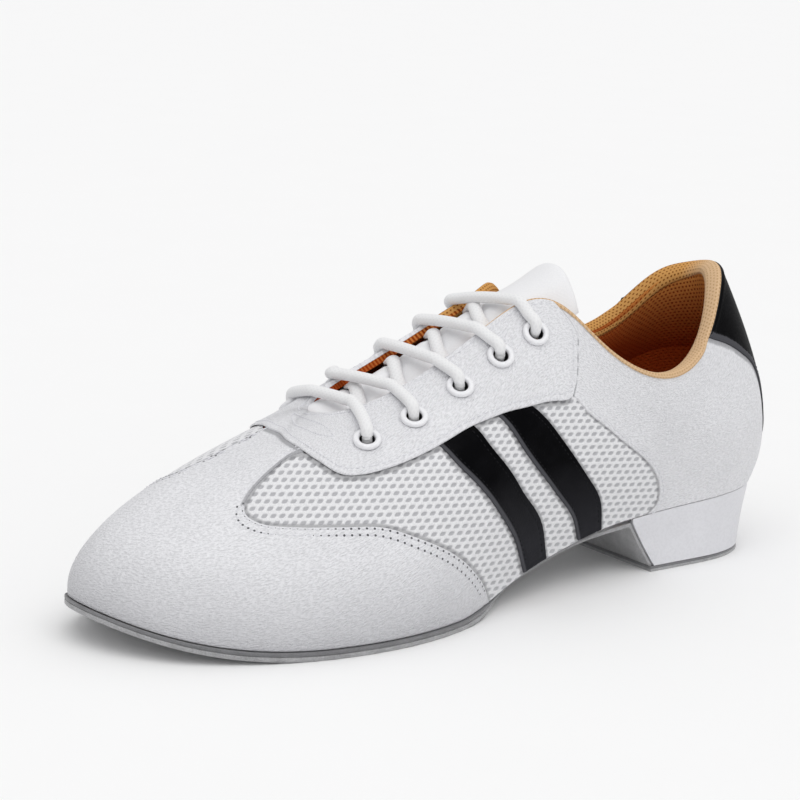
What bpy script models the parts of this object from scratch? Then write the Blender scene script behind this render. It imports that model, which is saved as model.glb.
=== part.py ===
"""Dance sneaker: one left shoe on a low heel block, for the Object Factory library.

Metres, +Z up. The toe points to -X and the outer side of the foot to -Y.
The origin is on the floor, under the middle of the heel.
Inside the functions lengths are millimetres, and every mesh is scaled to metres when it is made.
"""
import math

import bpy
import bmesh
import numpy as np
from mathutils import Vector
from mathutils.geometry import delaunay_2d_cdt

MM = 0.001

# Driving sizes in millimetres
SHOE_LENGTH = 262.0
BALL_WIDTH = 93.0
HEEL_WIDTH = 60.0
BACK_X = 33.0
TOP_HEIGHT = 96.0
HEEL_RISE = 20.5
TOE_SPRING = 12.0

# Thicknesses and clearances in millimetres
GAP = 0.3
SKIN_GAP = 0.55
SEAM_GAP = 0.5
OUTSOLE = 1.4
MIDSOLE = 1.0
INSOLE = 2.0
WALL = 1.5
LEATHER = 0.9
EYESTAY_LIFT = 0.6
BAND_LIFT = 0.1
TAB_LIFT = 0.8
TAB_SEAT = 0.3
TONGUE = 2.4
TONGUE_GAP = 0.6
TONGUE_SINK = 2.2
TONGUE_FREE = 17.0
TONGUE_EDGE = 0.55
PAD_GAP = 0.45
PAD_THIN = 1.0
PAD_THICK = 3.0
SOLE_MARGIN = 1.0
MIDSOLE_TUCK = 0.6
WAIST_INSET = 4.0
CORNER_INSET = 1.0
TIP = 0.1
INSOLE_INSET = 3.4
HOLE_CLEAR = 0.2

# Heel block in millimetres
CAP_THICK = 1.7
HEEL_FRONT_LEAN = 11.0
HEEL_BACK_LEAN = 5.0
HEEL_TAPER = 0.96
HEEL_WAIST = 0.02
BREAST_INSET = 1.2
COVER_INSET = 0.4
CAP_INSET = 0.1
BREAST_ALONG = 0.250

# Eyelets and lace in millimetres
EYELET_OUTER = 4.3
EYELET_HOLE = 2.2
EYELET_BARREL = 2.75
EYELET_BORE = 3.5
EYELET_RIM = 0.9
EYELET_SEAT = 0.35
LACE_RADIUS = 2.0
LACE_CLEAR = 0.4
# Lace handles at the outer and the inner end: share of the span up the facing, then off it
BAR_REACH = (0.3, 0.4)
BAR_ARCH = (3.0, 5.0)
SLANT_REACH = (0.33, 0.33)
SLANT_ARCH = (3.2, 4.6)

# Rises between which the collar's padding swells
PAD_FOOT = 0.78
PAD_HEAD = 1.10

# Mesh fineness
UPPER_COLUMNS = 78
UPPER_ROWS = 11
EDGE_STEP = 7.0
EDGE_CLEAR = 3.0
SOLE_STATIONS = 32
HEEL_STATIONS = 20
RING_SIDES = 8
CORD_SIDES = 6

# Shares of the length: where the toe begins to lift, where the width grows, where the waist opens out
TOE_FROM = 0.74
TOE_CURVE = 2.6
WIDTH_FROM = 0.15
WIDTH_TO = 0.60
WAIST_FROM = 0.44
WAIST_TO = 0.54
WAIST_TURN = 0.10

# Foot outline: share of the length from the back, share of the local width outwards (outer side negative)
FOOT_OUTLINE = [
    # along,  out
    (0.986, 0.030),
    (0.972, -0.120),
    (0.930, -0.300),
    (0.855, -0.450),
    (0.760, -0.540),
    (0.660, -0.560),
    (0.565, -0.505),
    (0.470, -0.415),
    (0.370, -0.400),
    (0.270, -0.440),
    (0.170, -0.475),
    (0.080, -0.440),
    (0.018, -0.290),
    (-0.006, 0.000),
    (0.018, 0.290),
    (0.080, 0.440),
    (0.170, 0.475),
    (0.270, 0.415),
    (0.370, 0.320),
    (0.480, 0.285),
    (0.590, 0.370),
    (0.680, 0.445),
    (0.770, 0.462),
    (0.860, 0.405),
    (0.930, 0.290),
    (0.972, 0.165),
]

# Line of the seat above the floor: share of the length, share of HEEL_RISE
SEAT_LINE = [
    # along, rise
    (-0.02, 1.0),
    (0.00, 1.0),
    (0.14, 0.95),
    (0.27, 0.82),
    (0.36, 0.58),
    (0.44, 0.30),
    (0.51, 0.08),
    (0.57, 0.0),
    (1.00, 0.0),
]

# Top edge of the upper, round from the throat bottom: outer side, heel back at turn 0.5, inner side
# turn, share of the length, share of BALL_WIDTH, share of TOP_HEIGHT
TOP_EDGE = [
    # turn, along,  out,    up
    (0.000, 0.676, 0.000, 0.672),
    (0.100, 0.668, -0.055, 0.672),
    (0.155, 0.625, -0.115, 0.695),
    (0.205, 0.540, -0.135, 0.785),
    (0.250, 0.450, -0.142, 0.922),
    (0.282, 0.385, -0.158, 1.000),
    (0.303, 0.350, -0.205, 0.980),
    (0.330, 0.310, -0.290, 0.860),
    (0.370, 0.240, -0.345, 0.735),
    (0.410, 0.165, -0.310, 0.740),
    (0.445, 0.105, -0.225, 0.850),
    (0.472, 0.060, -0.115, 0.970),
    (0.500, 0.028, 0.030, 1.030),
    (0.522, 0.042, 0.140, 1.015),
    (0.542, 0.075, 0.225, 0.970),
    (0.560, 0.110, 0.290, 0.868),
    (0.590, 0.160, 0.335, 0.775),
    (0.630, 0.240, 0.350, 0.750),
    (0.670, 0.310, 0.295, 0.860),
    (0.697, 0.350, 0.205, 0.985),
    (0.718, 0.385, 0.158, 1.000),
    (0.750, 0.450, 0.142, 0.935),
    (0.795, 0.540, 0.135, 0.828),
    (0.845, 0.625, 0.115, 0.738),
    (0.900, 0.668, 0.055, 0.690),
]

# Bow of each section, as the handles of a cubic curve at the foot and at the top edge
# turn, shares of BALL_WIDTH outwards and of TOP_HEIGHT upwards at each end
SECTION_BOW = [
    # turn, foot_out, foot_up, top_out, top_up
    (0.000, 0.032, 0.250, 0.280, -0.094),
    (0.060, 0.032, 0.240, 0.280, -0.083),
    (0.130, 0.065, 0.250, 0.280, -0.052),
    (0.190, 0.075, 0.270, 0.280, -0.052),
    (0.250, 0.086, 0.354, 0.237, -0.104),
    (0.300, 0.108, 0.354, 0.172, -0.229),
    (0.350, 0.097, 0.250, 0.043, -0.188),
    (0.400, 0.086, 0.250, 0.032, -0.188),
    (0.450, 0.097, 0.229, 0.108, -0.270),
    (0.500, 0.108, 0.229, 0.183, -0.354),
]
SECTION_BOW_INNER = [
    # turn, foot_out, foot_up, top_out, top_up; the inner facing stands steeper at the throat
    (0.550, 0.097, 0.229, 0.108, -0.270),
    (0.600, 0.086, 0.250, 0.032, -0.188),
    (0.650, 0.097, 0.250, 0.043, -0.188),
    (0.700, 0.108, 0.354, 0.140, -0.240),
    (0.750, 0.086, 0.354, 0.180, -0.170),
    (0.810, 0.075, 0.270, 0.215, -0.130),
    (0.870, 0.065, 0.250, 0.250, -0.110),
    (0.940, 0.032, 0.240, 0.280, -0.083),
]

# Edges of the panels on the upper's surface: turn round the foot, rise from the sole (0) to the top edge (1)
MESH_LOWER = [
    # turn, rise; front tip to the sole behind the ball
    (0.0605, 0.545),
    (0.0635, 0.520),
    (0.0695, 0.496),
    (0.084, 0.475),
    (0.107, 0.470),
    (0.132, 0.462),
    (0.157, 0.440),
    (0.178, 0.376),
    (0.206, 0.262),
    (0.236, 0.108),
    (0.252, 0.000),
]
MESH_FRONT = [
    # turn, rise; the same tip up to the eyestay
    (0.0605, 0.545),
    (0.0585, 0.600),
    (0.0605, 0.672),
    (0.067, 0.742),
    (0.082, 0.772),
]
MESH_LOWER_INNER = [
    # turn, rise; the inner side's mesh reaches nearer to the middle
    (0.024, 0.530),
    (0.042, 0.475),
    (0.070, 0.446),
    (0.104, 0.450),
    (0.135, 0.450),
    (0.162, 0.422),
    (0.180, 0.358),
    (0.207, 0.250),
    (0.236, 0.100),
    (0.252, 0.000),
]
MESH_FRONT_INNER = [
    # turn, rise; it meets the eyestay beside the middle of the toe side
    (0.024, 0.530),
    (0.014, 0.575),
    (0.0105, 0.630),
    (0.009, 0.700),
    (0.010, 0.770),
    (0.014, 0.846),
]
MESH_REAR = [
    # turn, rise; from the sole up to the eyestay's rear corner
    (0.376, 0.000),
    (0.381, 0.060),
    (0.376, 0.225),
    (0.361, 0.404),
    (0.336, 0.535),
    (0.312, 0.575),
]
EYESTAY_LOWER = [
    # turn, rise; from the middle of the toe side round to the rear corner
    (0.000, 0.850),
    (0.027, 0.842),
    (0.071, 0.792),
    (0.102, 0.728),
    (0.126, 0.660),
    (0.142, 0.646),
    (0.160, 0.648),
    (0.193, 0.660),
    (0.213, 0.662),
    (0.235, 0.634),
    (0.262, 0.592),
    (0.290, 0.583),
]
EYESTAY_REAR = [
    # turn, rise; from the rear corner up to the top edge
    (0.298, 0.605),
    (0.301, 0.660),
    (0.305, 0.800),
    (0.308, 0.900),
    (0.303, 0.950),
    (0.297, 1.000),
]
BANDS = [
    # each band: its front edge, then its rear edge, as turn and rise from the eyestay down to the sole
    (
        [(0.193, 0.660), (0.2075, 0.525), (0.236, 0.333), (0.266, 0.158), (0.284, 0.006)],
        [(0.216, 0.660), (0.231, 0.517), (0.259, 0.338), (0.287, 0.179), (0.302, 0.006)],
    ),
    (
        [(0.233, 0.637), (0.2575, 0.454), (0.293, 0.267), (0.314, 0.138), (0.325, 0.006)],
        [(0.262, 0.592), (0.2875, 0.471), (0.315, 0.329), (0.333, 0.192), (0.342, 0.006)],
    ),
]
TAB_EDGE = [
    # turn, rise; from the collar down the outer side to the tab's lower end on the middle line
    (0.4367, 1.000),
    (0.4525, 0.870),
    (0.4640, 0.750),
    (0.4730, 0.640),
    (0.4780, 0.510),
    (0.4785, 0.400),
    (0.4770, 0.290),
    (0.4800, 0.215),
    (0.4890, 0.178),
    (0.5000, 0.168),
]
PAD_LOWER = [
    # turn, rise; lower edge of the collar's padding, up to the middle line of the heel
    (0.312, 0.930),
    (0.350, 0.860),
    (0.400, 0.800),
    (0.450, 0.780),
    (0.500, 0.780),
]
EYELETS = [
    # turn, rise; top pair first
    (0.2725, 0.850),
    (0.2442, 0.838),
    (0.2142, 0.829),
    (0.1817, 0.812),
    (0.1467, 0.783),
]
TONGUE_ROWS = [
    # turn of the section that the row follows, lowest rise
    (0.085, 0.950),
    (0.110, 0.900),
    (0.145, 0.840),
    (0.180, 0.790),
    (0.215, 0.780),
    (0.245, 0.800),
    (0.268, 0.830),
    (0.280, 0.880),
]
TONGUE_TIP = [
    # free rows past the last: forward and up as shares of TONGUE_FREE, then shares of its width and bow
    (0.25, 0.10, 1.00, 1.12),
    (0.50, 0.22, 1.00, 1.24),
    (0.75, 0.36, 1.00, 1.36),
    (0.95, 0.48, 0.98, 1.46),
    (1.08, 0.54, 0.93, 1.50),
]

# Colours: red, green, blue, roughness
MATERIALS = {
    "mesh_fabric": (0.78, 0.79, 0.78, 0.75),
    "white_leather": (0.82, 0.82, 0.84, 0.45),
    "black_leather": (0.012, 0.012, 0.015, 0.40),
    "tan_lining": (0.55, 0.33, 0.17, 0.85),
    "white_twill": (0.84, 0.84, 0.84, 0.70),
    "grey_suede": (0.16, 0.16, 0.17, 0.95),
    "dark_board": (0.07, 0.07, 0.08, 0.80),
    "covered_heel": (0.83, 0.83, 0.86, 0.40),
    "white_cord": (0.88, 0.88, 0.88, 0.70),
    "white_enamel": (0.86, 0.86, 0.88, 0.30),
}


def clear_scene():
    for old in list(bpy.data.objects):
        bpy.data.objects.remove(old, do_unlink=True)


def material(name):
    red, green, blue, roughness = MATERIALS[name]
    made = bpy.data.materials.get(name) or bpy.data.materials.new(name)
    made.use_nodes = True
    shader = made.node_tree.nodes["Principled BSDF"]
    shader.inputs["Base Color"].default_value = (red, green, blue, 1.0)
    shader.inputs["Roughness"].default_value = roughness
    shader.inputs["Metallic"].default_value = 0.0
    made.diffuse_color = (red, green, blue, 1.0)
    return made


def monotone_curve(rows):
    """A curve through the rows of a two-column table that never overshoots them."""
    xs = np.array([row[0] for row in rows], float)
    ys = np.array([row[1] for row in rows], float)
    steps = np.diff(xs)
    slopes = np.diff(ys) / steps
    tangents = np.zeros(len(xs))
    for i in range(1, len(xs) - 1):
        if slopes[i - 1] * slopes[i] > 0:
            before = 2 * steps[i] + steps[i - 1]
            after = steps[i] + 2 * steps[i - 1]
            tangents[i] = (before + after) / (before / slopes[i - 1] + after / slopes[i])

    def curve(x):
        x = np.clip(np.asarray(x, float), xs[0], xs[-1])
        i = np.clip(np.searchsorted(xs, x, side="right") - 1, 0, len(steps) - 1)
        t = (x - xs[i]) / steps[i]
        start = ys[i] * (1 + 2 * t) * (1 - t) ** 2 + steps[i] * tangents[i] * t * (1 - t) ** 2
        end = ys[i + 1] * t * t * (3 - 2 * t) + steps[i] * tangents[i + 1] * t * t * (t - 1)
        return start + end

    return curve


def cyclic_curve(knots, values):
    """A closed cubic spline with continuous curvature through values, over one turn."""
    knots = np.array(knots, float)
    values = np.array(values, float)
    count = len(knots)
    steps = np.diff(np.append(knots, knots[0] + 1.0))
    slopes = (np.roll(values, -1, 0) - values) / steps[:, None]
    matrix = np.zeros((count, count))
    right = np.zeros_like(values)
    for i in range(count):
        matrix[i, (i - 1) % count] += steps[i - 1]
        matrix[i, i] += 2 * (steps[i - 1] + steps[i])
        matrix[i, (i + 1) % count] += steps[i]
        right[i] = 6 * (slopes[i] - slopes[i - 1])
    bends = np.linalg.solve(matrix, right)

    def curve(turn):
        turn = np.mod(np.asarray(turn, float) - knots[0], 1.0) + knots[0]
        i = np.clip(np.searchsorted(knots, turn, side="right") - 1, 0, count - 1)
        j = (i + 1) % count
        done = (turn - knots[i])[..., None]
        step = steps[i][..., None]
        left = step - done
        bend = (bends[i] * left ** 3 + bends[j] * done ** 3) / (6 * step)
        start = (values[i] / step - bends[i] * step / 6) * left
        end = (values[j] / step - bends[j] * step / 6) * done
        return bend + start + end

    return curve


seat_share = monotone_curve(SEAT_LINE)


def bottom_line(x):
    """Height of the sole's underside above the floor at x."""
    along = (BACK_X - np.asarray(x, float)) / SHOE_LENGTH
    lift = np.clip(along - TOE_FROM, 0, None) / (1 - TOE_FROM)
    return HEEL_RISE * seat_share(along) + TOE_SPRING * lift ** TOE_CURVE


def ease(value, low, high):
    """Soft step from 0 at low to 1 at high."""
    share = min(max((value - low) / (high - low), 0.0), 1.0)
    return share * share * (3 - 2 * share)


def local_width(along):
    """Width that the foot outline's shares refer to, from the heel's to the ball's."""
    return HEEL_WIDTH + (BALL_WIDTH - HEEL_WIDTH) * ease(along, WIDTH_FROM, WIDTH_TO)


def make_foot_curve():
    points = np.array([(BACK_X - along * SHOE_LENGTH, out * local_width(along)) for along, out in FOOT_OUTLINE])
    heel = min(range(len(FOOT_OUTLINE)), key=lambda i: FOOT_OUTLINE[i][0])
    run = np.linalg.norm(np.roll(points, -1, 0) - points, axis=1)
    run = np.concatenate([[0.0], np.cumsum(run)])
    outer, whole = run[heel], run[-1]
    knots = [0.5 * r / outer if r <= outer else 0.5 + 0.5 * (r - outer) / (whole - outer) for r in run[:-1]]
    return cyclic_curve(knots, points), whole


foot, GIRTH = make_foot_curve()
top_edge = cyclic_curve(
    [row[0] for row in TOP_EDGE],
    [(BACK_X - row[1] * SHOE_LENGTH, row[2] * BALL_WIDTH, row[3] * TOP_HEIGHT) for row in TOP_EDGE],
)
BOW_ROWS = SECTION_BOW + SECTION_BOW_INNER
section_bow = cyclic_curve([row[0] for row in BOW_ROWS], [row[1:] for row in BOW_ROWS])
REACH = 0.8 * TOP_HEIGHT


def outwards(turn):
    """Level unit vector out of the foot outline."""
    step = 1e-3
    run = foot(turn + step) - foot(turn - step)
    run /= np.linalg.norm(run, axis=-1, keepdims=True)
    return np.stack([run[..., 1], -run[..., 0]], -1)


def last_surface(turn, rise):
    """Outer face of the leather, from the foot outline (rise 0) to the top edge (rise 1)."""
    turn, rise = np.broadcast_arrays(np.asarray(turn, float), np.asarray(rise, float))
    plan = foot(turn)
    bow = section_bow(turn)
    out = np.concatenate([outwards(turn), np.zeros(turn.shape + (1,))], -1)
    up = np.array([0.0, 0.0, 1.0])
    height = bottom_line(plan[..., 0]) + OUTSOLE + GAP + MIDSOLE + GAP
    start = np.concatenate([plan, height[..., None]], -1)
    end = top_edge(turn)
    first = start + out * bow[..., 0:1] * BALL_WIDTH + up * bow[..., 1:2] * TOP_HEIGHT
    second = end + out * bow[..., 2:3] * BALL_WIDTH + up * bow[..., 3:4] * TOP_HEIGHT
    t = rise[..., None]
    return start * (1 - t) ** 3 + 3 * first * t * (1 - t) ** 2 + 3 * second * t * t * (1 - t) + end * t ** 3


def surface_normal(turn, rise):
    step = 2e-3
    turn = np.asarray(turn, float)
    rise = np.asarray(rise, float)
    low = np.clip(rise - step, 0, 1)
    high = np.clip(rise + step, 0, 1)
    along = last_surface(turn + step, rise) - last_surface(turn - step, rise)
    upwards = last_surface(turn, high) - last_surface(turn, low)
    normal = np.cross(along, upwards)
    return normal / np.linalg.norm(normal, axis=-1, keepdims=True)


def lifted(turn, rise, lift):
    """A point at this lift from the leather's outer face, inwards when negative."""
    lift = np.asarray(lift, float)
    return last_surface(turn, rise) + surface_normal(turn, rise) * lift[..., None]


def add_object(name, vertices, faces, look, smooth=40.0):
    mesh = bpy.data.meshes.new(name)
    mesh.from_pydata([tuple(float(c) * MM for c in v) for v in vertices], [], faces)
    shell = bmesh.new()
    shell.from_mesh(mesh)
    bmesh.ops.remove_doubles(shell, verts=shell.verts, dist=1e-7)
    bmesh.ops.recalc_face_normals(shell, faces=shell.faces)
    if shell.calc_volume(signed=True) < 0:
        bmesh.ops.reverse_faces(shell, faces=shell.faces)
    shell.to_mesh(mesh)
    shell.free()
    mesh.shade_smooth()
    mesh.set_sharp_from_angle(angle=math.radians(smooth))
    mesh.materials.append(material(look))
    made = bpy.data.objects.new(name, mesh)
    bpy.context.scene.collection.objects.link(made)
    return made


def loft(name, rings, look, smooth=40.0):
    """A solid through closed rings of equal point count, flat-capped at both ends."""
    size = len(rings[0])
    vertices = [point for ring in rings for point in ring]
    faces = []
    for i in range(len(rings) - 1):
        for j in range(size):
            k = (j + 1) % size
            faces.append((i * size + j, i * size + k, (i + 1) * size + k, (i + 1) * size + j))
    faces.append(tuple(range(size)))
    faces.append(tuple(range((len(rings) - 1) * size, len(rings) * size)))
    return add_object(name, vertices, faces, look, smooth)


def cross_strips(name, rings, look, smooth=40.0):
    """As loft, for flat wide rings listed as one row and back: the ends are capped by strips across."""
    size = len(rings[0])
    half = size // 2
    vertices = [point for ring in rings for point in ring]
    faces = []
    for i in range(len(rings) - 1):
        for j in range(size):
            k = (j + 1) % size
            faces.append((i * size + j, i * size + k, (i + 1) * size + k, (i + 1) * size + j))
    for base in (0, (len(rings) - 1) * size):
        for j in range(half - 1):
            faces.append((base + j, base + j + 1, base + size - 2 - j, base + size - 1 - j))
    return add_object(name, vertices, faces, look, smooth)


def in_plane(point):
    """Turn and rise as millimetres on a flat sheet, so that distances mean something."""
    return point[0] * GIRTH, point[1] * REACH


def smooth_line(rows, step):
    """Points at about this step along a rounded line through the rows."""
    rows = [Vector((row[0] * GIRTH, row[1] * REACH)) for row in rows]
    padded = [2 * rows[0] - rows[1]] + rows + [2 * rows[-1] - rows[-2]]
    points = []
    for i in range(1, len(padded) - 2):
        before, start, end, after = padded[i - 1:i + 3]
        pieces = max(1, round((end - start).length / step))
        for j in range(pieces):
            t = j / pieces
            first = (end - before) * 0.5
            last = (after - start) * 0.5
            point = start * (1 + 2 * t) * (1 - t) ** 2 + first * t * (1 - t) ** 2
            point += end * t * t * (3 - 2 * t) + last * t * t * (t - 1)
            points.append(point)
    points.append(rows[-1])
    return [(point.x / GIRTH, point.y / REACH) for point in points]


def mirrored(points):
    return [(-turn, rise) for turn, rise in points]


def straight(start, end, step):
    """Points from start towards end at about this step, without the end."""
    a = Vector(in_plane(start))
    b = Vector(in_plane(end))
    pieces = max(1, round((b - a).length / step))
    return [(start[0] + (end[0] - start[0]) * i / pieces, start[1] + (end[1] - start[1]) * i / pieces)
            for i in range(pieces)]


def along_edge(first, last, rise):
    """Places on the top edge or the foot line between two turns, at the wall's own columns."""
    low, high = sorted((first, last))
    turns = [i / UPPER_COLUMNS for i in range(-UPPER_COLUMNS, UPPER_COLUMNS + 1)]
    margin = 0.3 / UPPER_COLUMNS
    turns = [turn for turn in turns if low + margin < turn < high - margin]
    if last < first:
        turns.reverse()
    return [(turn, rise) for turn in turns]


def signed_area(points):
    total = 0.0
    for (x0, y0), (x1, y1) in zip(points, points[1:] + points[:1]):
        total += x0 * y1 - x1 * y0
    return total / 2


def inset(outline, distance):
    """The outline moved inwards on the flat sheet, kept within rise 0 and 1."""
    points = [Vector(in_plane(point)) for point in outline]
    side = 1.0 if signed_area([tuple(point) for point in points]) > 0 else -1.0
    moved = []
    for i, point in enumerate(points):
        before = (point - points[i - 1]).normalized()
        after = (points[(i + 1) % len(points)] - point).normalized()
        normal = Vector((-before.y - after.y, before.x + after.x)) * side
        if normal.length < 1e-6:
            continue
        normal.normalize()
        cosine = max(0.5, normal.dot(Vector((-before.y, before.x)) * side))
        place = point + normal * (distance / cosine)
        rise = min(max(place.y / REACH, 0.0), 1.0)
        moved.append((place.x / GIRTH, rise))
    return moved


def inside(x, y, polygon):
    result = False
    for (x0, y0), (x1, y1) in zip(polygon, polygon[1:] + polygon[:1]):
        if (y0 > y) != (y1 > y) and x < x0 + (y - y0) / (y1 - y0) * (x1 - x0):
            result = not result
    return result


def distance_to(x, y, polygon):
    """Shortest distance from a point to the polygon's edges."""
    starts = np.array(polygon)
    ends = np.roll(starts, -1, 0)
    run = ends - starts
    point = np.array([x, y])
    share = np.clip(((point - starts) * run).sum(1) / np.maximum((run ** 2).sum(1), 1e-12), 0, 1)
    return float(np.min(np.linalg.norm(starts + run * share[:, None] - point, axis=1)))


def triangulate(outline, inner_points, holes):
    """Triangles between an outline, loose points inside it and holes, all as (turn, rise)."""
    flat = [[in_plane(point) for point in loop] for loop in [outline] + holes]
    points = []
    edges = []
    for loop in flat:
        base = len(points)
        points += [Vector(point) for point in loop]
        edges += [(base + i, base + (i + 1) % len(loop)) for i in range(len(loop))]
    points += [Vector(in_plane(point)) for point in inner_points]
    found, _, faces, _, _, _ = delaunay_2d_cdt(points, edges, [], 0, 1e-5)
    kept = []
    for face in faces:
        x = sum(found[i].x for i in face) / 3
        y = sum(found[i].y for i in face) / 3
        if inside(x, y, flat[0]) and not any(inside(x, y, hole) for hole in flat[1:]):
            kept.append(tuple(face))
    return [(point.x / GIRTH, point.y / REACH) for point in found], kept


def sheet(name, places, faces, outer_lift, inner_lift, look, open_sides=False):
    """A solid between two offsets of the upper's surface; open_sides joins it round the heel."""
    turns = np.array([place[0] for place in places])
    rises = np.clip(np.array([place[1] for place in places]), 0, 1)
    outer = lifted(turns, rises, np.broadcast_to(outer_lift, turns.shape))
    inner = lifted(turns, rises, np.broadcast_to(inner_lift, turns.shape))
    count = len(places)
    solid = [tuple(face) for face in faces]
    solid += [tuple(count + i for i in reversed(face)) for face in faces]
    sides = {}
    for face in faces:
        for a, b in zip(face, face[1:] + face[:1]):
            sides[(a, b)] = sides.get((a, b), 0) + 1
    for a, b in sides:
        if (b, a) in sides:
            continue
        if open_sides and abs(abs(turns[a]) - 0.5) < 1e-7 and abs(abs(turns[b]) - 0.5) < 1e-7:
            continue
        solid.append((b, a, count + a, count + b))
    return add_object(name, list(outer) + list(inner), solid, look)


def circle_on_upper(place, radius, count):
    """A true circle on the surface, as turn and rise."""
    turn, rise = place
    step = 1e-3
    around = (last_surface(turn + step, rise) - last_surface(turn - step, rise)) / (2 * step)
    upwards = (last_surface(turn, rise + step) - last_surface(turn, rise - step)) / (2 * step)
    frame = np.stack([around, upwards], 1)
    first = around / np.linalg.norm(around)
    normal = surface_normal(turn, rise)
    second = np.cross(normal, first)
    points = []
    for i in range(count):
        angle = 2 * math.pi * i / count
        offset = (first * math.cos(angle) + second * math.sin(angle)) * radius
        move = np.linalg.lstsq(frame, offset, rcond=None)[0]
        points.append((turn + move[0], rise + move[1]))
    return points


def both_sides(places):
    return list(places) + mirrored(places)


def eyelet_holes():
    return [circle_on_upper(place, EYELET_BORE, 10) for place in both_sides(EYELETS)]


def grid_points(outline, holes, edge_clear):
    """Staggered grid places inside an outline and clear of its edge and of the holes.

    Wall and panels share this grid, so their facets lie parallel.
    """
    flat = [in_plane(point) for point in outline]
    flat_holes = [[in_plane(point) for point in hole] for hole in holes]
    found = []
    for j in range(1, UPPER_ROWS):
        columns = [i + 0.5 * (j % 2) for i in range(-UPPER_COLUMNS // 2, UPPER_COLUMNS)]
        if j % 2:
            columns.append(UPPER_COLUMNS / 2)
        for column in columns:
            place = (column / UPPER_COLUMNS, j / UPPER_ROWS)
            x, y = in_plane(place)
            if not inside(x, y, flat) or distance_to(x, y, flat) < edge_clear:
                continue
            if any(inside(x, y, hole) or distance_to(x, y, hole) < EDGE_CLEAR for hole in flat_holes):
                continue
            found.append(place)
    return found


def panel(name, outline, outer_lift, inner_lift, look, holes=(), clearance=SEAM_GAP / 2):
    """An overlay cut to an outline on the upper's surface, with the seam clearance taken off all round."""
    outline = inset(outline, clearance)
    holes = list(holes)
    places, faces = triangulate(outline, grid_points(outline, holes, EDGE_CLEAR), holes)
    return sheet(name, places, faces, outer_lift, inner_lift, look)


def make_upper():
    """The lining and mesh wall: one hollow band round the foot, open above and below."""
    outer_lift = -(LEATHER + SKIN_GAP)
    inner_lift = outer_lift - WALL
    columns = [-0.5 + i / UPPER_COLUMNS for i in range(UPPER_COLUMNS + 1)]
    rows = [i / UPPER_ROWS for i in range(UPPER_ROWS + 1)]
    border = [(turn, 0.0) for turn in columns]
    border += [(0.5, rise) for rise in rows[1:]]
    border += [(turn, 1.0) for turn in reversed(columns[:-1])]
    border += [(-0.5, rise) for rise in reversed(rows[1:-1])]
    holes = eyelet_holes()
    places, faces = triangulate(border, grid_points(border, holes, HOLE_CLEAR), holes)
    return sheet("upper", places, faces, outer_lift, inner_lift, "mesh_fabric", open_sides=True)


def make_overlays():
    outer_lift = 0.0
    inner_lift = -LEATHER
    lower = smooth_line(MESH_LOWER, EDGE_STEP)
    front = smooth_line(MESH_FRONT, EDGE_STEP)
    lower_inner = mirrored(smooth_line(MESH_LOWER_INNER, EDGE_STEP))
    front_inner = mirrored(smooth_line(MESH_FRONT_INNER, EDGE_STEP))
    stay = smooth_line(EYESTAY_LOWER, EDGE_STEP)
    stay_from_mesh = [point for point in stay if point[0] < MESH_FRONT[-1][0] - 0.004]
    stay_inner = mirrored([point for point in stay if point[0] < MESH_FRONT_INNER[-1][0] - 0.004])
    toe = along_edge(MESH_LOWER[-1][0], -MESH_LOWER[-1][0], 0.0)
    vamp = toe + list(reversed(lower_inner)) + front_inner[1:]
    vamp += list(reversed(stay_inner))[:-1] + stay_from_mesh
    vamp += list(reversed(front)) + lower[1:]
    panel("vamp", vamp, outer_lift, inner_lift, "white_leather")

    rear = smooth_line(EYESTAY_REAR, EDGE_STEP)
    throat = along_edge(EYESTAY_REAR[-1][0], -EYESTAY_REAR[-1][0], 1.0)
    stay_rows = smooth_line(EYESTAY_LOWER + EYESTAY_REAR[:1], EDGE_STEP)[:-1]
    eyestay = stay_rows + rear + throat
    eyestay += list(reversed(mirrored(rear))) + list(reversed(mirrored(stay_rows[1:])))
    panel("eyestay", eyestay, EYESTAY_LIFT, inner_lift, "white_leather", eyelet_holes())

    tab_half = smooth_line(TAB_EDGE, EDGE_STEP)
    tab_far = [(1 - turn, rise) for turn, rise in reversed(tab_half[:-1])]
    tab_top = along_edge(tab_far[-1][0], tab_half[0][0], 1.0)
    panel("heel_tab", tab_half + tab_far + tab_top, TAB_LIFT, inner_lift + TAB_SEAT, "black_leather")

    mesh_rear = smooth_line(MESH_REAR, EDGE_STEP)
    corner = [point for point in rear if point[1] > MESH_REAR[-1][1] + 0.05]
    quarter = mesh_rear + corner + along_edge(rear[-1][0], tab_half[0][0], 1.0)
    quarter += tab_half + straight((0.5, tab_half[-1][1]), (0.5, 0.0), EDGE_STEP)[1:]
    quarter += [(0.5, 0.0)] + along_edge(0.5, MESH_REAR[0][0], 0.0)
    panel("quarter_outer", quarter, outer_lift, inner_lift, "white_leather")
    panel("quarter_inner", mirrored(quarter), outer_lift, inner_lift, "white_leather")

    for number, (front_rows, rear_rows) in enumerate(BANDS, 1):
        front_edge = smooth_line(front_rows, EDGE_STEP)
        rear_edge = smooth_line(rear_rows, EDGE_STEP)
        head = straight(rear_edge[0], front_edge[0], EDGE_STEP)[1:]
        foot_end = straight(front_edge[-1], rear_edge[-1], EDGE_STEP)[1:]
        band = front_edge + foot_end + list(reversed(rear_edge)) + head
        panel("side_band_outer_%d" % number, band, BAND_LIFT, inner_lift, "black_leather")
        panel("side_band_inner_%d" % number, mirrored(band), BAND_LIFT, inner_lift, "black_leather")


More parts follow.
